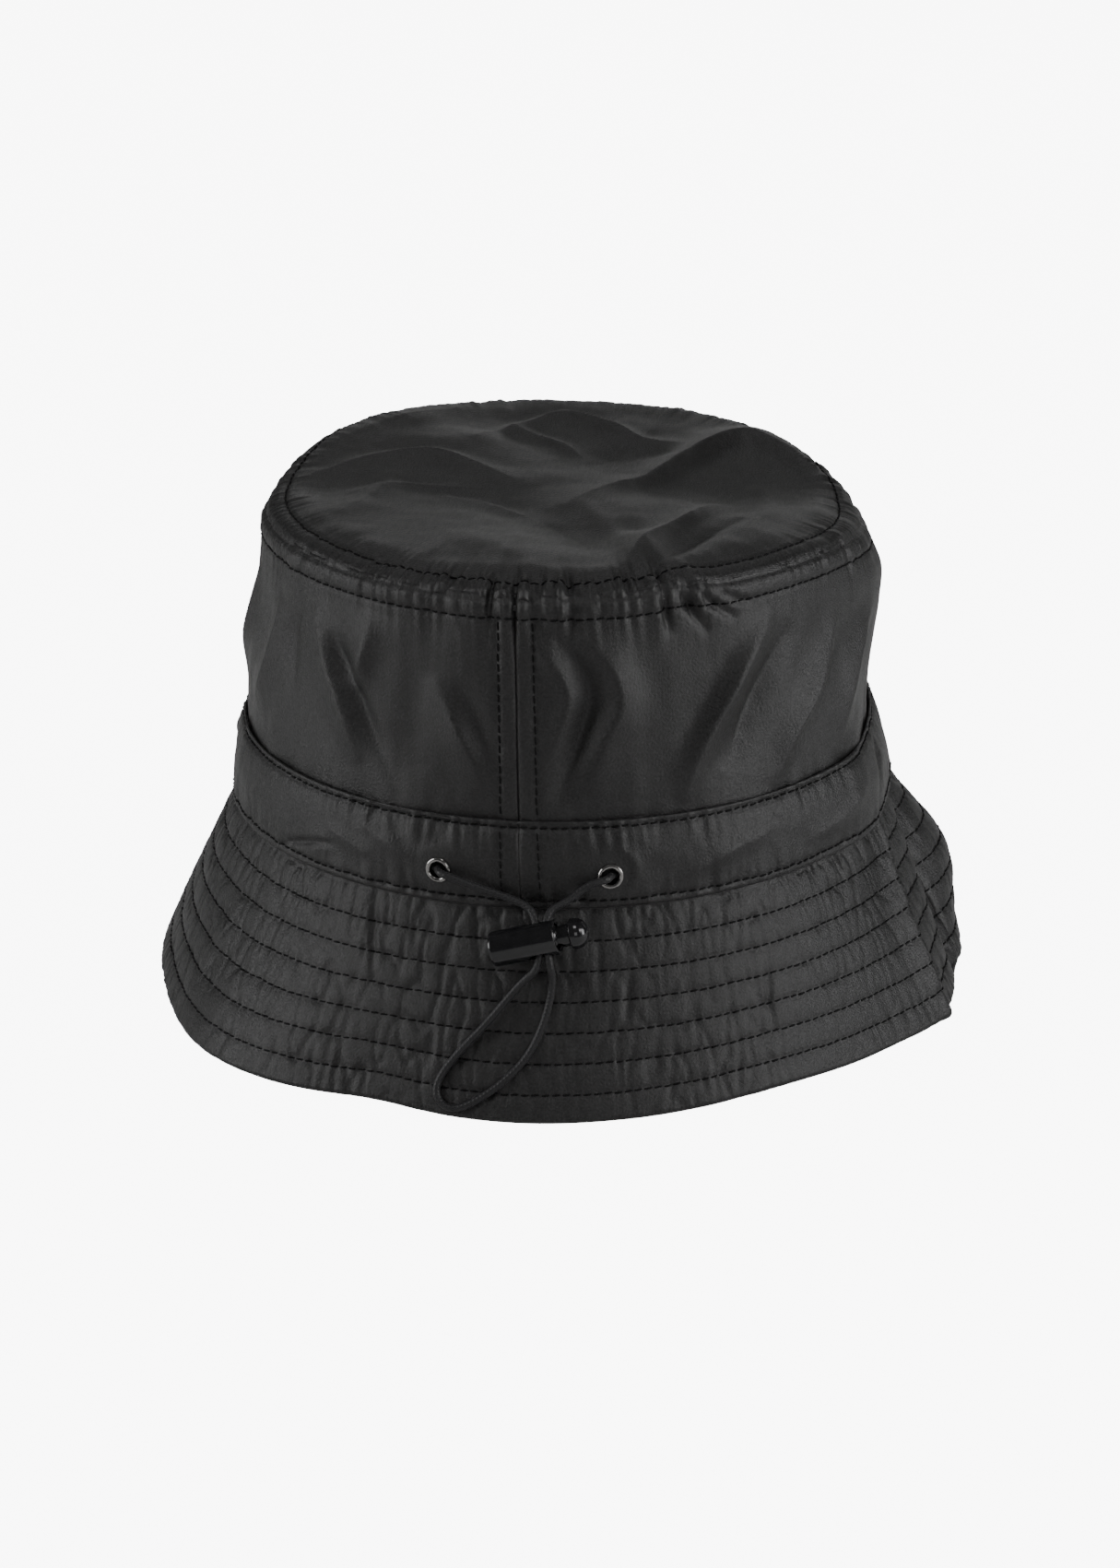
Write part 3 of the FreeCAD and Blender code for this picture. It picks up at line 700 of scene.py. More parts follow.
SIDE_FOLDS = [
    ([(230, 118), (233, 112), (237, 105), (241, 95), (247, 80)], -1.5, 3.6),
    ([(225, 124), (230, 110), (235, 98), (239, 84)], 2.0, 5.2, 0.3),
    ([(241, 126), (239, 113), (237, 103)], 1.3, 4.0),
    ([(254, 113), (259, 100), (262, 92), (264, 82)], 1.6, 4.6, 0.3),
    ([(259, 112), (263, 100), (266, 88)], -0.9, 3.6),
    ([(274, 131), (281, 117), (283, 109), (281, 98), (278, 86), (277, 78)], -1.7, 3.6),
    ([(271, 126), (277, 117), (279, 108), (277, 98), (274, 88)], 1.2, 3.6),
    ([(281, 126), (286, 118), (288, 107), (285, 96), (282, 82)], 2.0, 5.0, -0.3),
    ([(319, 126), (312, 114), (306, 102), (302, 92), (298, 78)], 3.0, 4.8, -0.3),
    ([(324, 120), (317, 108), (312, 98), (307, 84)], -2.2, 5.0),
    ([(338, 118), (330, 102), (322, 90), (316, 77)], 2.8, 4.8, 0.3),
    ([(354, 114), (346, 104), (340, 92), (337, 80)], 2.0, 6.0),
    ([(213, 120), (209, 100), (203, 84)], 1.6, 6.0),
    ([(221, 126), (218, 112), (219, 96)], -1.1, 4.6),
    ([(299, 134.5), (302, 129), (305, 122)], -1.5, 1.5),
    ([(302, 135), (306, 130), (311, 125)], -1.3, 1.4),
    ([(296, 134.5), (297, 129), (298, 123)], -1.1, 1.4),
    ([(306, 134), (310, 131), (315, 128)], -0.9, 1.3),
]


def unseen_folds(count, first, last, low, high):
    """Folds for the half of the hat that faces away: slanting lines of mixed lengths and heights."""
    pick = np.random.RandomState(SEED + 1)
    folds = []
    for k in range(count):
        middle = first + (last - first) * (k + 0.5 + 0.3 * pick.uniform(-1, 1)) / count
        slant = pick.uniform(-7, 7)
        top = high - pick.uniform(0, 0.35) * (high - low)
        bottom = low + pick.uniform(0, 0.3) * (high - low)
        bend = pick.uniform(-3, 3)
        points = [(middle - slant, top), (middle + bend, (top + bottom) / 2), (middle + slant, bottom)]
        height = pick.uniform(1.2, 2.4) * (1 if k % 3 else -0.8)
        folds.append((points, height, pick.uniform(3.6, 5.6), pick.uniform(-0.3, 0.3)))
    return folds


def apply_folds(angle, v, folds, radius, total):
    """Add folds given by (angle, v) points, on a surface of about that radius."""
    per_degree = math.radians(radius)
    for points, height, width, *lean in folds:
        middle = points[len(points) // 2][0]
        line = np.array([(turn_between(a, middle) * per_degree, b) for a, b in points])
        u = turn_between(angle, middle) * per_degree
        margin = 4 * width
        low, high = line[:, 1].min() - margin, line[:, 1].max() + margin
        near = (np.abs(u) < np.abs(line[:, 0]).max() + margin) & (v > low) & (v < high)
        if near.any():
            total[near] += fold(u[near], v[near], line, height, width, *lean)


def tip_seam_relief(away, swell):
    """Away from the tip's seam, on either side of it: its groove, its allowances and its row."""
    allowances = swell * smooth_step(away / 3.0) * smooth_step((9.0 - away) / 4.0)
    return allowances - 1.5 * hump(away, 1.0) - 0.55 * hump(away - TOPSTITCH, 0.85)


def side_row(z):
    """The row of the sides' surface at a height."""
    return (TIP_EDGE_Z - z) / SIDE_STEP


def side_surface():
    z = TIP_EDGE_Z - SIDE_STEP * np.arange(SIDE_ROWS + 1)
    base, angle, z = swept(SIDE_RADIUS, GRID, FRONT, panel_side(z), z, z)
    below = TIP_SEAM_Z - z
    lift = seam_relief(angle, z, 86.0) * smooth_step(below / 3.0) + tip_seam_relief(below, 0.5)
    strong = 0.5
    for middle, spread, more in ((262, 22, 1.3), (343, 12, 0.5), (212, 9, 0.4), (302, 5, 1.3)):
        strong = strong + more * hump(turn_between(angle, middle), spread)
    lift += 2.3 * strong * gathers(angle, below, 2.1, 9.0, 1)
    lift += 0.9 * strong * gathers(angle, below, 7.0, 18.0, 4)
    lift += 0.5 * gathers(angle, np.maximum(z - BAND_TOP_Z, 0.0), 5.0, 12.0, 7)
    folds = np.zeros(z.shape)
    apply_folds(angle, z, SIDE_FOLDS + unseen_folds(11, 4.0, 196.0, 80.0, 128.0), 87.0, folds)
    lift += 1.22 * folds
    calm = smooth_step(below / 20.0)
    lift += calm * (0.85 * ring_noise(angle, z, 22.0, 34.0, 10) + 0.32 * ring_noise(angle, z, 9.0, 20.0, 11))
    lift += 0.07 * ring_noise(angle, z, 3.6, 6.0, 12)
    lift *= smooth_step((z - 68.0) / 8.0)
    return Surface(base, lift, unrolled(angle, SIDE_RADIUS, z))


def disc_places(count):
    """A square grid of places bent into a disc: distances from the middle along both axes, at most 1."""
    a, b = np.meshgrid(np.linspace(-1, 1, count), np.linspace(-1, 1, count), indexing="ij")
    wide = np.abs(a) >= np.abs(b)
    share, other = np.where(wide, a, b), np.where(wide, b, a)
    turn = math.pi / 4 * other / share
    turn = np.where(wide, turn, math.pi / 2 - turn)
    return share * np.cos(turn), share * np.sin(turn)


def disc_row_column(share, angle, count):
    """Where places on the disc, at that share of its radius, lie in the square grid."""
    quarter, rest = np.divmod(angle / 90.0 + 0.5, 1.0)
    place = share * (1 + 1j * (2 * rest - 1)) * 1j ** quarter
    return (place.real + 1) / 2 * (count - 1), (place.imag + 1) / 2 * (count - 1)


def tip_surface():
    x, y = disc_places(TIP_GRID)
    share = np.hypot(x, y)
    angle = np.degrees(np.arctan2(y, x)) % 360.0
    px, py = x * TIP_SIDE, y * TIP_SIDE * OVAL
    inward = (1 - share) * TIP_SIDE
    far = 0.5 + (smooth_step(0.5 + 0.7 * np.sin(np.radians(angle - 8.0))) - 0.5) * share ** 2
    rise = 3.4 + 2.6 * far
    dome = rise * smooth_step(0.5 + 0.5 * inward / (16.0 - 7.0 * far)) * 2 - rise
    dome = dome - 2.0 * (1 - share ** 2) ** 2
    base = np.stack([px, py, TIP_EDGE_Z + dome], -1)
    lift = tip_seam_relief(inward, 0.45)
    strong = 0.45 + 1.5 * hump(turn_between(angle, 262.0), 22.0) + 0.8 * hump(turn_between(angle, 298.0), 9.0)
    lift += 2.9 * strong * gathers(angle, inward, 2.1, 9.0, 1)
    lift += 0.8 * strong * gathers(angle, inward, 7.0, 20.0, 14)
    for ridge in TIP_FOLDS:
        lift += fold(px, py, *ridge)
    calm = smooth_step(inward / 16.0)
    lift += calm * (1.1 * perlin(px / 30.0, py / 24.0, 3.1) + 0.4 * perlin(px / 12.0, py / 10.0, 8.4))
    lift += 0.06 * perlin(px / 4.0, py / 4.0, 5.2)
    surface = Surface(base, lift, np.stack([px, py], -1), closed=False)
    # The square's corners are folded flat and take the normals beside them.
    surface.normals[np.ix_([0, -1], [0, -1])] = surface.normals[np.ix_([2, -3], [2, -3])]
    return surface


# ---- band

BAND_PATH = [
    (89.35, 74.3), (89.45, 75.2), (89.85, 75.65), (90.35, 75.2), (91.0, 73.2), (92.0, 70.6), (92.75, 68.0),
    (93.3, 65.0), (93.7, 60.0), (93.95, 56.0), (94.15, 54.0), (93.9, 52.7), (93.2, 51.95), (92.2, 52.3),
]
BAND_FOLDS = [
    ([(221, 54.5), (226, 57.5), (231, 60), (236, 61.5)], -1.1, 1.1),
    ([(233, 66), (238, 64), (243, 61)], 0.8, 2.4, 0.3),
    ([(240, 70), (247, 66), (252, 62)], 0.7, 2.6),
    ([(206, 60), (211, 64), (216, 71)], 0.8, 2.8),
    ([(286, 70), (289, 64), (288, 57)], 0.7, 2.4),
    ([(296, 58), (306, 64), (316, 67)], 0.9, 3.0),
    ([(322, 60), (331, 62), (340, 67)], 0.9, 3.0, 0.3),
    ([(346, 58), (351, 66), (354, 72)], -0.8, 2.4),
]


def evenly(points, spacing):
    """Points at an even spacing along a smooth curve through some points."""
    line = smooth_line(points, 12)
    reach = measured(line)
    return at_stops(np.linspace(0, reach[-1], int(reach[-1] / spacing) + 1), reach, line)


def band_surface():
    side, section_z = evenly(BAND_PATH, 0.55).T
    base, angle, z = swept(BAND_RADIUS, BAND_GRID, FRONT, side, section_z, section_z)
    rows = np.arange(len(side))[:, None]
    outside = smooth_step((rows - 1.0) / 4.0) * smooth_step((len(side) - 3.0 - rows) / 4.0)
    top_row = BAND_TOP_Z - BAND_TOP_ROW
    lift = -0.55 * hump(z - top_row, 0.8) - 0.42 * hump(z - BAND_FOOT_ROW_Z, 0.8)
    lift += 0.6 * seam_relief(angle, z, BAND_RADIUS)
    strong = 0.7 + 0.6 * hump(turn_between(angle, 250.0), 14.0)
    lift += 1.3 * strong * gathers(angle, np.maximum(top_row - z, 0.0), 2.4, 6.0, 20)
    lift += 1.3 * strong * gathers(angle, np.maximum(z - BAND_FOOT_ROW_Z, 0.0), 2.4, 6.0, 23)
    apply_folds(angle, z, BAND_FOLDS + unseen_folds(8, 8.0, 190.0, 56.0, 71.0), BAND_RADIUS, lift)
    lift += 0.55 * ring_noise(angle, z, 17.0, 13.0, 26) + 0.2 * ring_noise(angle, z, 7.0, 7.0, 27)
    lift += 0.05 * ring_noise(angle, z, 2.6, 3.0, 28)
    lift = lift * outside * (1 - near_eyelets(angle, z)) - 0.02
    surface = Surface(base, lift, unrolled(angle, BAND_RADIUS, z))
    surface.section_z = section_z
    return surface


def band_row(surface, z):
    """The row of the band's surface at a height on its outside."""
    first, last = np.argmax(surface.section_z), np.argmin(surface.section_z)
    return float(np.interp(-z, -surface.section_z[first:last + 1], np.arange(first, last + 1)))


# ---- brim

BRIM_FOLDS = [
    ([(349, 72), (346, 56), (344, 44), (342, 30), (341, 14), (341, 0), (341, -24)], 3.0, 4.0, 0.3),
    ([(9, 74), (6, 60), (2, 46), (0, 32), (358, 16), (356, 0), (355, -30)], -3.6, 6.0),
    ([(244, 58), (245, 46), (247, 32)], -1.1, 1.2),
    ([(287, 41), (286, 24)], -0.8, 1.2),
    ([(323, 60), (323, 50)], -0.9, 1.3),
    ([(329, 60), (330, 49)], -0.9, 1.3),
    ([(336, 60), (337, 50)], -0.9, 1.3),
    ([(226, 12), (225, 0), (225, -6)], -0.6, 1.2),
    ([(232, 12), (231, 0), (231, -6)], -0.5, 1.2),
    ([(216, 40), (213, 24), (211, 6)], 0.9, 6.0),
    ([(262, 60), (263, 46)], -0.7, 1.4),
    ([(309, 34), (308, 14)], -0.6, 1.2),
    ([(80, 57), (83, 36), (81, 0)], 1.6, 7.0, 0.2),
    ([(120, 57), (123, 30), (120, 0)], -1.4, 8.0),
    ([(150, 56), (147, 30), (149, 0)], 1.2, 6.0),
    ([(32, 57), (30, 30), (33, 0)], 1.2, 7.0),
]
BRIM_THICKNESS = 2.3
UNDER_DEPTH = 1.6
BRIM_TOP = SLOPE + 1.0          # how far up the slope both plies reach, under the band,
UNDER_FOOT = 3.5                # the under ply ends
HEM_BEND = 1.75                 # and the hem's turn starts
ROW_PITCH = (ROWS_Z[1] - ROWS_Z[0]) / BRIM_TOP_Z * SLOPE


def brim_relief(angle, s, part):
    """Rows pulled in, channels swelling between them, and the puckers across both."""
    row_gap = np.abs((s / ROW_PITCH + 0.5) % 1.0 - 0.5) * ROW_PITCH
    row_gap = np.where(s < ROW_PITCH / 2, 2.0 + s, row_gap)
    relief = 0.17 * smooth_step(row_gap / 3.4) - 0.1
    relief -= 0.3 * hump(row_gap, 0.55)
    patchy = smooth_step(0.5 + 0.8 * ring_noise(angle, s, 30.0, 26.0, part))
    under_band = hump(s - SLOPE, 10.0)
    lines = crease_lines(ring_noise(angle, s, 3.6, 15.0, part + 1), 0.13)
    broad = ring_noise(angle, s, 3.0, 12.0, part + 2)
    fine = ring_noise(angle, s, 1.5, 5.0, part + 3)
    strength = 0.26 + 0.42 * patchy + 0.40 * under_band
    held = 1.0 + 0.35 * hump(row_gap, 1.6)
    return relief + strength * held * (0.66 * lines + 0.12 * broad + 0.12 * fine)


def brim_lift(angle, s):
    """What the stitching does to the upper ply, and the folds that both plies share."""
    seams = sum(hump(np.radians(turn_between(angle, side)) * BRIM_GRID_RADIUS, 0.8) for side in (0.0, 180.0))
    relief = (brim_relief(angle, s, 30) - 0.5 * seams) * smooth_step((BRIM_TOP - s) / 2.5)
    folds = np.zeros(s.shape)
    apply_folds(angle, s, BRIM_FOLDS, BRIM_RADIUS, folds)
    return relief, folds + 0.5 * ring_noise(angle, s, 30.0, 40.0, 36)


def brim_section(s, depth):
    """Points (side, z) at places up the brim's slope from the hem and at depths under its face."""
    up = np.array([-(HEM_SIDE - BRIM_TOP_SIDE), BRIM_TOP_Z]) / SLOPE
    out = np.array([BRIM_TOP_Z, HEM_SIDE - BRIM_TOP_SIDE]) / SLOPE
    return (np.array([HEM_SIDE, 0.0]) + s[:, None] * up - depth[:, None] * out).T


def brim_surface():
    """The upper ply: down the slope from under the band, round the hem and a little way up inside."""
    radius = BRIM_THICKNESS / 2
    down = np.arange(BRIM_TOP, HEM_BEND, -GRID)
    turn = np.radians(np.arange(0, 181, 20))
    inside = np.array([0.8, 1.6])
    along = np.concatenate([down, HEM_BEND - radius * np.sin(turn), HEM_BEND + inside])
    underneath = np.concatenate([0 * down, (1 - np.cos(turn)) / 2, [1.0, 1.0]])
    side, z = brim_section(along, BRIM_THICKNESS * underneath)
    s = np.concatenate([down, np.full(len(turn) + len(inside), HEM_BEND)])
    base, angle, s = swept(BRIM_GRID_RADIUS, GRID, 0.0, side, z, s)
    lift, folds = brim_lift(angle, s)
    share = 1 - 2 * underneath[:, None]
    lift = lift * np.maximum(share, 0.0) + folds * share
    surface = Surface(base, lift, unrolled(angle, BRIM_RADIUS, s))
    surface.down = down
    surface.points[..., 2] = np.maximum(surface.points[..., 2], 0.0)
    return surface


def under_surface():
    """The brim's under ply, seen from its outside: its own face is the inner one."""
    down = np.arange(BRIM_TOP, UNDER_FOOT, -UNDER_GRID)
    side, z = brim_section(down, np.full(len(down), UNDER_DEPTH))
    base, angle, s = swept(BRIM_GRID_RADIUS, GRID, 0.0, side, z, down)
    relief, folds = brim_lift(angle, s)
    lift = np.minimum(-0.5 * relief, relief + 0.5) + folds
    surface = Surface(base, lift, unrolled(angle, BRIM_RADIUS, s))
    surface.down = down
    return surface


# ---- stitches


def stitch_tubes(points, normals, loop):
    """Separate stitches along a line on the cloth: each rises from its hole, lies flat and dives again."""
    if loop:
        points, normals = (np.vstack([field, field[:1]]) for field in (points, normals))
    reach = measured(points)
    count = max(1, int(round(reach[-1] / STITCH)))
    pitch = reach[-1] / count
    pick = np.random.RandomState(SEED + count)
    along = np.array([0.0, 0.10, 0.24, 0.5, 0.76, 0.90, 1.0])
    rise = np.array([-0.30, 0.06, 0.17, 0.20, 0.17, 0.06, -0.30])
    girth = np.array([0.55, 0.85, 1.0, 1.05, 1.0, 0.85, 0.55]) * THREAD_R
    start = (np.arange(count) + 0.07)[:, None] * pitch
    stops = start + along * pitch * 0.86
    at, normal = at_stops(stops, reach, points), at_stops(stops, reach, normals)
    normal /= np.linalg.norm(normal, axis=-1)[..., None]
    tangent = at[:, -1:] - at[:, :1]
    tangent /= np.maximum(np.linalg.norm(tangent, axis=-1), 1e-9)[..., None]
    across = np.cross(normal, np.broadcast_to(tangent, normal.shape))
    across /= np.linalg.norm(across, axis=-1)[..., None]
    slant = pick.uniform(-0.10, 0.10, (count, 1, 1)) + 0.16 * (along[:, None] - 0.5)
    height = rise[:, None] + pick.uniform(-0.03, 0.05, (count, 1, 1))
    centre = at + normal * height + across * slant
    sides = 6
    turn = 2 * math.pi * np.arange(sides) / sides
    spoke = across[:, :, None] * np.cos(turn)[:, None] + normal[:, :, None] * np.sin(turn)[:, None]
    rings = centre[:, :, None] + spoke * girth[:, None, None]
    walls = grid_faces(len(along), sides, True)[:, [0, 3, 2, 1]]
    far_end = np.array([[0, 1, 2, 3], [0, 3, 4, 5]]) + (len(along) - 1) * sides
    caps = np.concatenate([[[0, 3, 2, 1], [0, 5, 4, 3]], far_end])
    faces = np.arange(count)[:, None, None] * len(along) * sides + np.concatenate([walls, caps])
    cloth = np.stack(np.broadcast_arrays(stops[:, :, None], turn), -1)
    return rings.reshape(-1, 3), faces.reshape(-1, 4), cloth.reshape(-1, 2)


def sewn(name, node, lines):
    """One piece of thread made of lines: (points, normals, whether the line is a loop)."""
    vertices, faces, cloth = [], [], []
    start = 0
    for line in lines:
        v, f, c = stitch_tubes(*line)
        vertices.append(v)
        faces.append(f + start)
        cloth.append(c)
        start += len(v)
    new_piece(name, *map(np.concatenate, (vertices, faces)), THREAD, np.concatenate(cloth), node)


def ring_line(surface, row, depth=None):
    """A row of stitches all round; with a depth it is on the inner side of cloth that thick."""
    columns = np.arange(surface.points.shape[1])
    turn = 2 * math.pi * columns / len(columns)
    wander = 0.2 * perlin(14.0 * np.cos(turn), 14.0 * np.sin(turn), row)
    points, normals = surface.at(row + wander, columns)
    if depth is not None:
        points, normals = points - normals * depth, -normals
    return points, normals, True


def upright_line(surface, middle, x, row_from, row_to):
    """A row of stitches across the surface's rows, x beside the angle in the middle."""
    rows = np.arange(row_from, row_to, 0.5)
    column = surface.column(middle + math.degrees(x / SEAM_RADIUS))
    points, normals = surface.at(rows, np.full(len(rows), column))
    return points, normals, False


# ---- drawcord

# The free cord's route in metres: out of the left eyelet, down through the lock, round its loop and back up.
CORD = 0.002
HELD = 5.0                      # mm at each end of the cord where the share of the lock's motion that make_drawcord works out stays 0
CLEAR = 2.5                     # mm either side of the cord's stretch beside the lock over which that share is 1
LOOP_FOOT = 3.0                 # height in mm at and below which the loop's share is 0
CORD_ROUTE = [
    (-0.0231, -0.0952, 0.0610), (-0.0225, -0.0975, 0.0609), (-0.0191, -0.0986, 0.0604),
    (-0.0127, -0.0995, 0.0583), (-0.0055, -0.1003, 0.0565), (0.0006, -0.1021, 0.0551),
    (0.0039, -0.1039, 0.0529), (0.0065, -0.1122, 0.0417), (0.0009, -0.1098, 0.0359),
    (-0.0076, -0.1122, 0.0252), (-0.0146, -0.1141, 0.0178), (-0.0189, -0.1156, 0.0126),
    (-0.0212, -0.1169, 0.0085), (-0.0211, -0.1184, 0.0053), (-0.0187, -0.1198, 0.0031),
    (-0.0153, -0.1204, 0.0029), (-0.0105, -0.1200, 0.0052), (-0.0034, -0.1184, 0.0101),
    (0.0035, -0.1155, 0.0172), (0.0076, -0.1122, 0.0267), (0.0094, -0.1097, 0.0363),
    (0.0084, -0.1121, 0.0426), (0.0060, -0.1042, 0.0534), (0.0128, -0.1007, 0.0561),
    (0.0163, -0.0990, 0.0590), (0.0199, -0.0984, 0.0606), (0.0225, -0.0975, 0.0609),
    (0.0231, -0.0952, 0.0610),
]


def spline_points(route):
    """Points in metres along the smooth curve that a route's points control."""
    curve = bpy.data.curves.new("route", "CURVE")
    curve.dimensions = "3D"
    curve.resolution_u = 16
    spline = curve.splines.new("NURBS")
    spline.points.add(len(route) - 1)
    for point, place in zip(spline.points, route):
        point.co = (*place, 1.0)
    spline.order_u = 3
    spline.use_endpoint_u = True
    thing = add_object("route", curve)
    bpy.context.view_layer.update()
    mesh = bpy.data.meshes.new_from_object(thing)
    points = np.array([v.co for v in mesh.vertices])
    bpy.data.objects.remove(thing)
    bpy.data.meshes.remove(mesh)
    bpy.data.curves.remove(curve)
    return points


def braided_tube(name, node, line, body, step=0.17, strands=7):
    """A round braided cord along a line of points in metres, its crossing strands standing up from it."""
    line = line / MM
    diameter = CORD / MM
    reach = measured(line)
    rings = int(reach[-1] / step)
    stops = np.linspace(0, reach[-1], rings)
    path = at_stops(stops, reach, line)
    tangent = np.gradient(path, axis=0)
    tangent /= np.linalg.norm(tangent, axis=1)[:, None]
    side = np.zeros(path.shape)
    guess = np.cross(tangent[0], (0.0, 0.0, 1.0))
    for k in range(rings):
        guess = guess - tangent[k] * (guess @ tangent[k])
        guess /= np.linalg.norm(guess)
        side[k] = guess
    other = np.cross(tangent, side)
    count = 5 * strands
    turn = 2 * math.pi * np.arange(count) / count
    winding = stops[:, None] * 2 * math.pi * strands / (4.0 * diameter)
    over = np.maximum(np.cos(strands * turn + winding), np.cos(strands * turn - winding))
    radius = diameter / 2 * (0.93 + 0.09 * over)
    spoke = side[:, None] * np.cos(turn)[:, None] + other[:, None] * np.sin(turn)[:, None]
    skin = path[:, None] + spoke * radius[..., None]
    vertices = np.concatenate([skin.reshape(-1, 3), path[:1], path[-1:]])
    cloth = np.stack(np.broadcast_arrays(stops[:, None], turn), -1).reshape(-1, 2)
    first, last = len(vertices) - 2, (rings - 1) * count
    ends = []
    for k in range(0, count, 2):
        near, far = (k + 1) % count, (k + 2) % count
        ends += [[k, near, far, first], [last + far, last + near, last + k, first + 1]]
    faces = np.concatenate([grid_faces(rings, count, True)[:, ::-1], np.array(ends)])
    piece = new_piece(name, vertices, faces, CORD_COVER, np.concatenate([cloth, cloth[:2]]), node, body)
    return piece, np.repeat(stops, count), path


def make_drawcord():
    line = spline_points(CORD_ROUTE)
    cord, stops, path = braided_tube("drawcord_braid", "drawcord", line, None)
    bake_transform(cord)
    lock_low, lock_high = box_mm("cord_lock_barrel")
    reach = stops[-1]
    heights = path[:, 2]
    ring_stops = np.linspace(0, reach, len(path))
    beside_lock = (heights > lock_low[2] - 1) & (heights < lock_high[2] + 1) & (path[:, 1] < -101.5)
    in_lock = ring_stops[beside_lock]
    down, up = in_lock[in_lock < reach / 2], in_lock[in_lock > reach / 2]
    out_of_lock, into_lock = down[-1] + CLEAR, up[0] - CLEAR
    held_to_lock = [0.0, HELD, down[0] - CLEAR, up[-1] + CLEAR, reach - HELD, reach]
    share = smooth_step(np.interp(stops, held_to_lock, [0.0, 0.0, 1.0, 1.0, 0.0, 0.0]))
    foot = np.interp([out_of_lock, into_lock], ring_stops, heights).min()
    above_floor = np.clip((np.interp(stops, ring_stops, heights) - LOOP_FOOT) / (foot - LOOP_FOOT), 0.0, 1.0)
    share = np.where((stops > out_of_lock) & (stops < into_lock), above_floor, share)
    share = np.concatenate([share, [0.0, 0.0]])


def make_tunnel_cord():
    """The rest of the drawcord, inside the casing round the front of the hat."""
    turns = np.radians(np.linspace(244.5, -64.5, 40))
    route = [(-0.0231, -0.0952, 0.0610), (-0.0240, -0.0927, 0.0610), (-0.0286, -0.0911, 0.0610)]
    route += [(0.0911 * math.cos(t), 0.0954 * math.sin(t), 0.0610) for t in turns]
    route += [(-x, y, z) for x, y, z in route[2::-1]]
    line = spline_points(route)
    braided_tube("drawcord_hidden_braid", "drawcord_in_casing", line, "hat", step=0.6, strands=3)


# ---- the hat


def half_ring(node, surface, part, layer, keep=None):
    """The first or the second half of a ring of shell cloth."""
    half = surface.points.shape[1] // 2
    columns = (part * half, (part + 1) * half + 1)
    shell(node + "_cloth", node, surface, layer, SHELL_CLOTH, columns, keep=keep)


def strip(name, node, surface, layer, material, angle, half, rows, keep=None):
    """A piece of cloth round an angle, half being half its width in columns."""
    middle = int(round(surface.column(angle)))
    rows = [int(row) for row in rows]
    shell(name, node, surface, layer, material, (middle - half, middle + half + 1), rows, keep=keep)


def clear_of_eyelets(places):
    """Which places on the band are not in an eyelet's hole."""
    kept = np.ones(len(places), bool)
    for name in ("eyelet_left", "eyelet_right"):
        middle = middle_mm(name)
        axis = np.array([middle[0], middle[1] / OVAL ** 2, 0.0])
        axis /= np.linalg.norm(axis)
        away = places - middle
        beside = away - (away @ axis)[:, None] * axis
        kept &= (np.linalg.norm(beside, axis=1) > EYELET_HOLE) | (np.abs(away[:, 1]) > 8.0)
    return kept


def make_tip():
    tip = tip_surface()
    shell("crown_tip_cloth", "crown_tip", tip, FACE, SHELL_CLOTH)
    angles = np.linspace(0.0, 360.0, 900, endpoint=False)
    points, normals = tip.at(*disc_row_column(1 - TOPSTITCH / TIP_SIDE, angles, TIP_GRID))
    sewn("tip_thread_upper", "tip_stitching_upper", [(points, normals, True)])


def make_sides(side):
    for part, name in enumerate(("left", "right")):
        half_ring("crown_side_" + name, side, part, FACE)
    sewn("tip_thread_lower", "tip_stitching_lower", [ring_line(side, side_row(TIP_SEAM_Z - TOPSTITCH))])
    rows = (3, int(side_row(TIP_TAPE_FOOT_Z)))
    shell("tip_seam_tape_knit", "tip_seam_tape", side, TAPE_LAYER, TAPE, rows=rows, stride=2)
    for name, angle in (("back", BACK), ("front", FRONT)):
        tape = name + "_seam_tape"
        rows = side_row(SEAM_TAPE_TOP_Z), side_row(TAPE_FOOT_Z)
        strip(tape + "_knit", tape, side, TAPE_LAYER, TAPE, angle, int(TAPE_HALF / GRID), rows)
    rows = (int(side_row(SWEATBAND_TOP_Z)), SIDE_ROWS)
    band = shell("sweatband_knit", "sweatband", side, SWEATBAND_LAYER, SWEATBAND_CLOTH, rows=rows, stride=2)
    foot = ring_line(side, side_row(SWEATBAND_ROW_Z), SWEATBAND_LAYER[1])
    sewn("sweatband_thread", "sweatband_stitching", [foot])
    half = int(LABEL_HALF / GRID)
    rows = side_row(LABEL_TOP_Z), side_row(TAPE_FOOT_Z)
    strip("care_label_satin", "care_label", side, LABEL_LAYER, LABEL_CLOTH, BACK, half, rows)


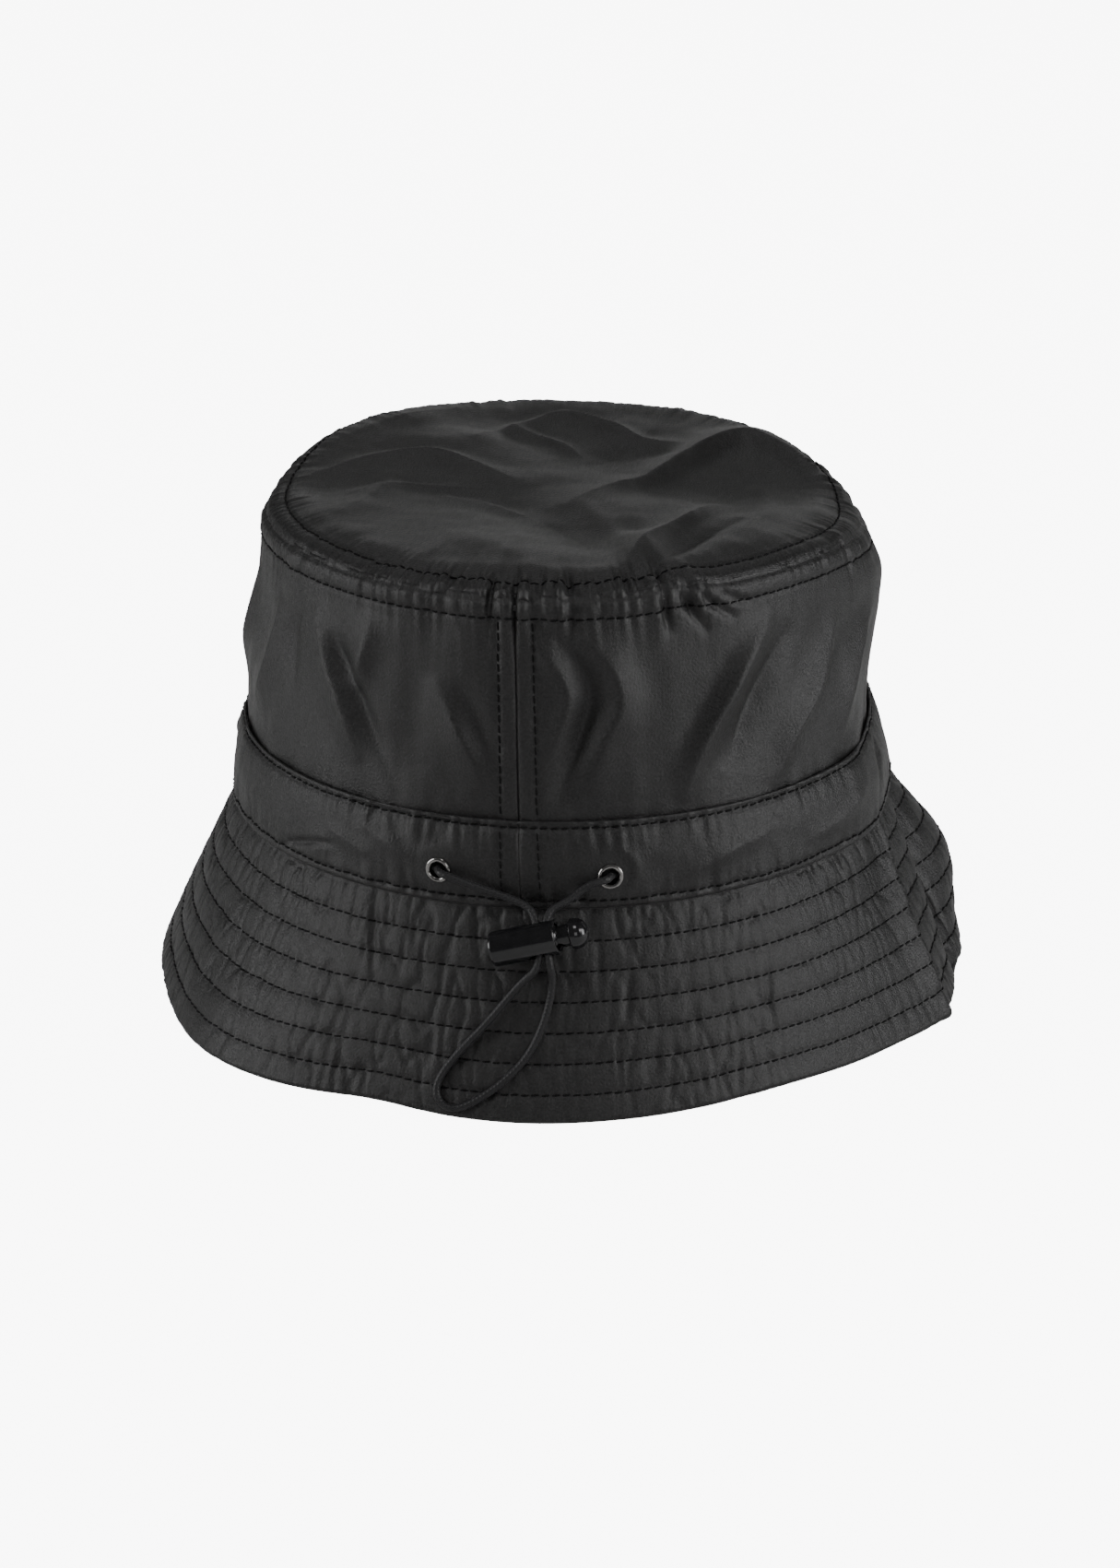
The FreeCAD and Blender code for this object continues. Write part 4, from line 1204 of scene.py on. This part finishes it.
def make_band(side):
    band = band_surface()
    for part, name in enumerate(("left", "right")):
        half_ring("cord_casing_" + name, band, part, FACE, clear_of_eyelets)
        patch = "eyelet_patch_" + name
        x, y, _ = middle_mm(patch)
        angle = math.degrees(math.atan2(y / OVAL, x))
        rows = [band_row(band, corner[2]) for corner in box_mm(patch)[::-1]]
        half = int(PATCH_HALF / BAND_GRID)
        strip(patch + "_felt", patch, band, PATCH_LAYER, PATCH_CLOTH, angle, half, rows, clear_of_eyelets)
    top_row = band_row(band, BAND_TOP_Z - BAND_TOP_ROW)
    foot_row = band_row(band, BAND_FOOT_ROW_Z)
    sewn("casing_thread_top", "casing_stitching_top", [ring_line(band, top_row)])
    sewn("casing_thread_foot", "casing_stitching_bottom", [ring_line(band, foot_row)])
    side_top, side_foot = side_row(TIP_SEAM_Z - TOPSTITCH) + 1, side_row(BAND_TOP_Z + 0.8)
    for name, angle in (("back", BACK), ("front", FRONT)):
        lines = []
        for x in (-SEAM_ROW, SEAM_ROW):
            lines.append(upright_line(side, angle, x, side_top, side_foot))
            lines.append(upright_line(band, angle, x, top_row + 2, foot_row - 1))
        sewn(name + "_seam_thread", name + "_seam_stitching", lines)


def make_brim():
    upper = brim_surface()
    under = under_surface()
    for part, name in enumerate(("front", "back")):
        half_ring("brim_upper_" + name, upper, part, UPPER_PLY)
        half_ring("brim_under_" + name, under, part, UNDER_PLY)
    shell(
        "brim_interlining_felt", "brim_interlining", upper, INTERLINING_LAYER, INTERLINING,
        rows=(2, len(upper.down) - 4), stride=2)
    for k, z in enumerate(ROWS_Z, 1):
        s = z / BRIM_TOP_Z * SLOPE
        top = ring_line(upper, (upper.down[0] - s) / GRID)
        below = ring_line(under, (under.down[0] - s) / UNDER_GRID, UNDER_PLY[1])
        sewn("brim_thread_%d" % k, "brim_stitch_row_%d" % k, [top, below])


def dress_hard_parts():
    """The parts whose own shapes stay take their materials."""
    finishes = {"cord_lock_spring": SPRING_STEEL}
    finishes["cord_lock_barrel"] = finishes["cord_lock_plunger"] = LOCK_PLASTIC
    for side in ("left", "right"):
        finishes["eyelet_" + side] = finishes["eyelet_washer_" + side] = EYELET_METAL
    for name, material in finishes.items():
        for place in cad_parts[name].material_slots:
            place.material = material


make_camera()
make_studio()
make_tip()
side_cloth = side_surface()
make_sides(side_cloth)
make_band(side_cloth)
make_brim()
make_drawcord()
make_tunnel_cord()
dress_hard_parts()
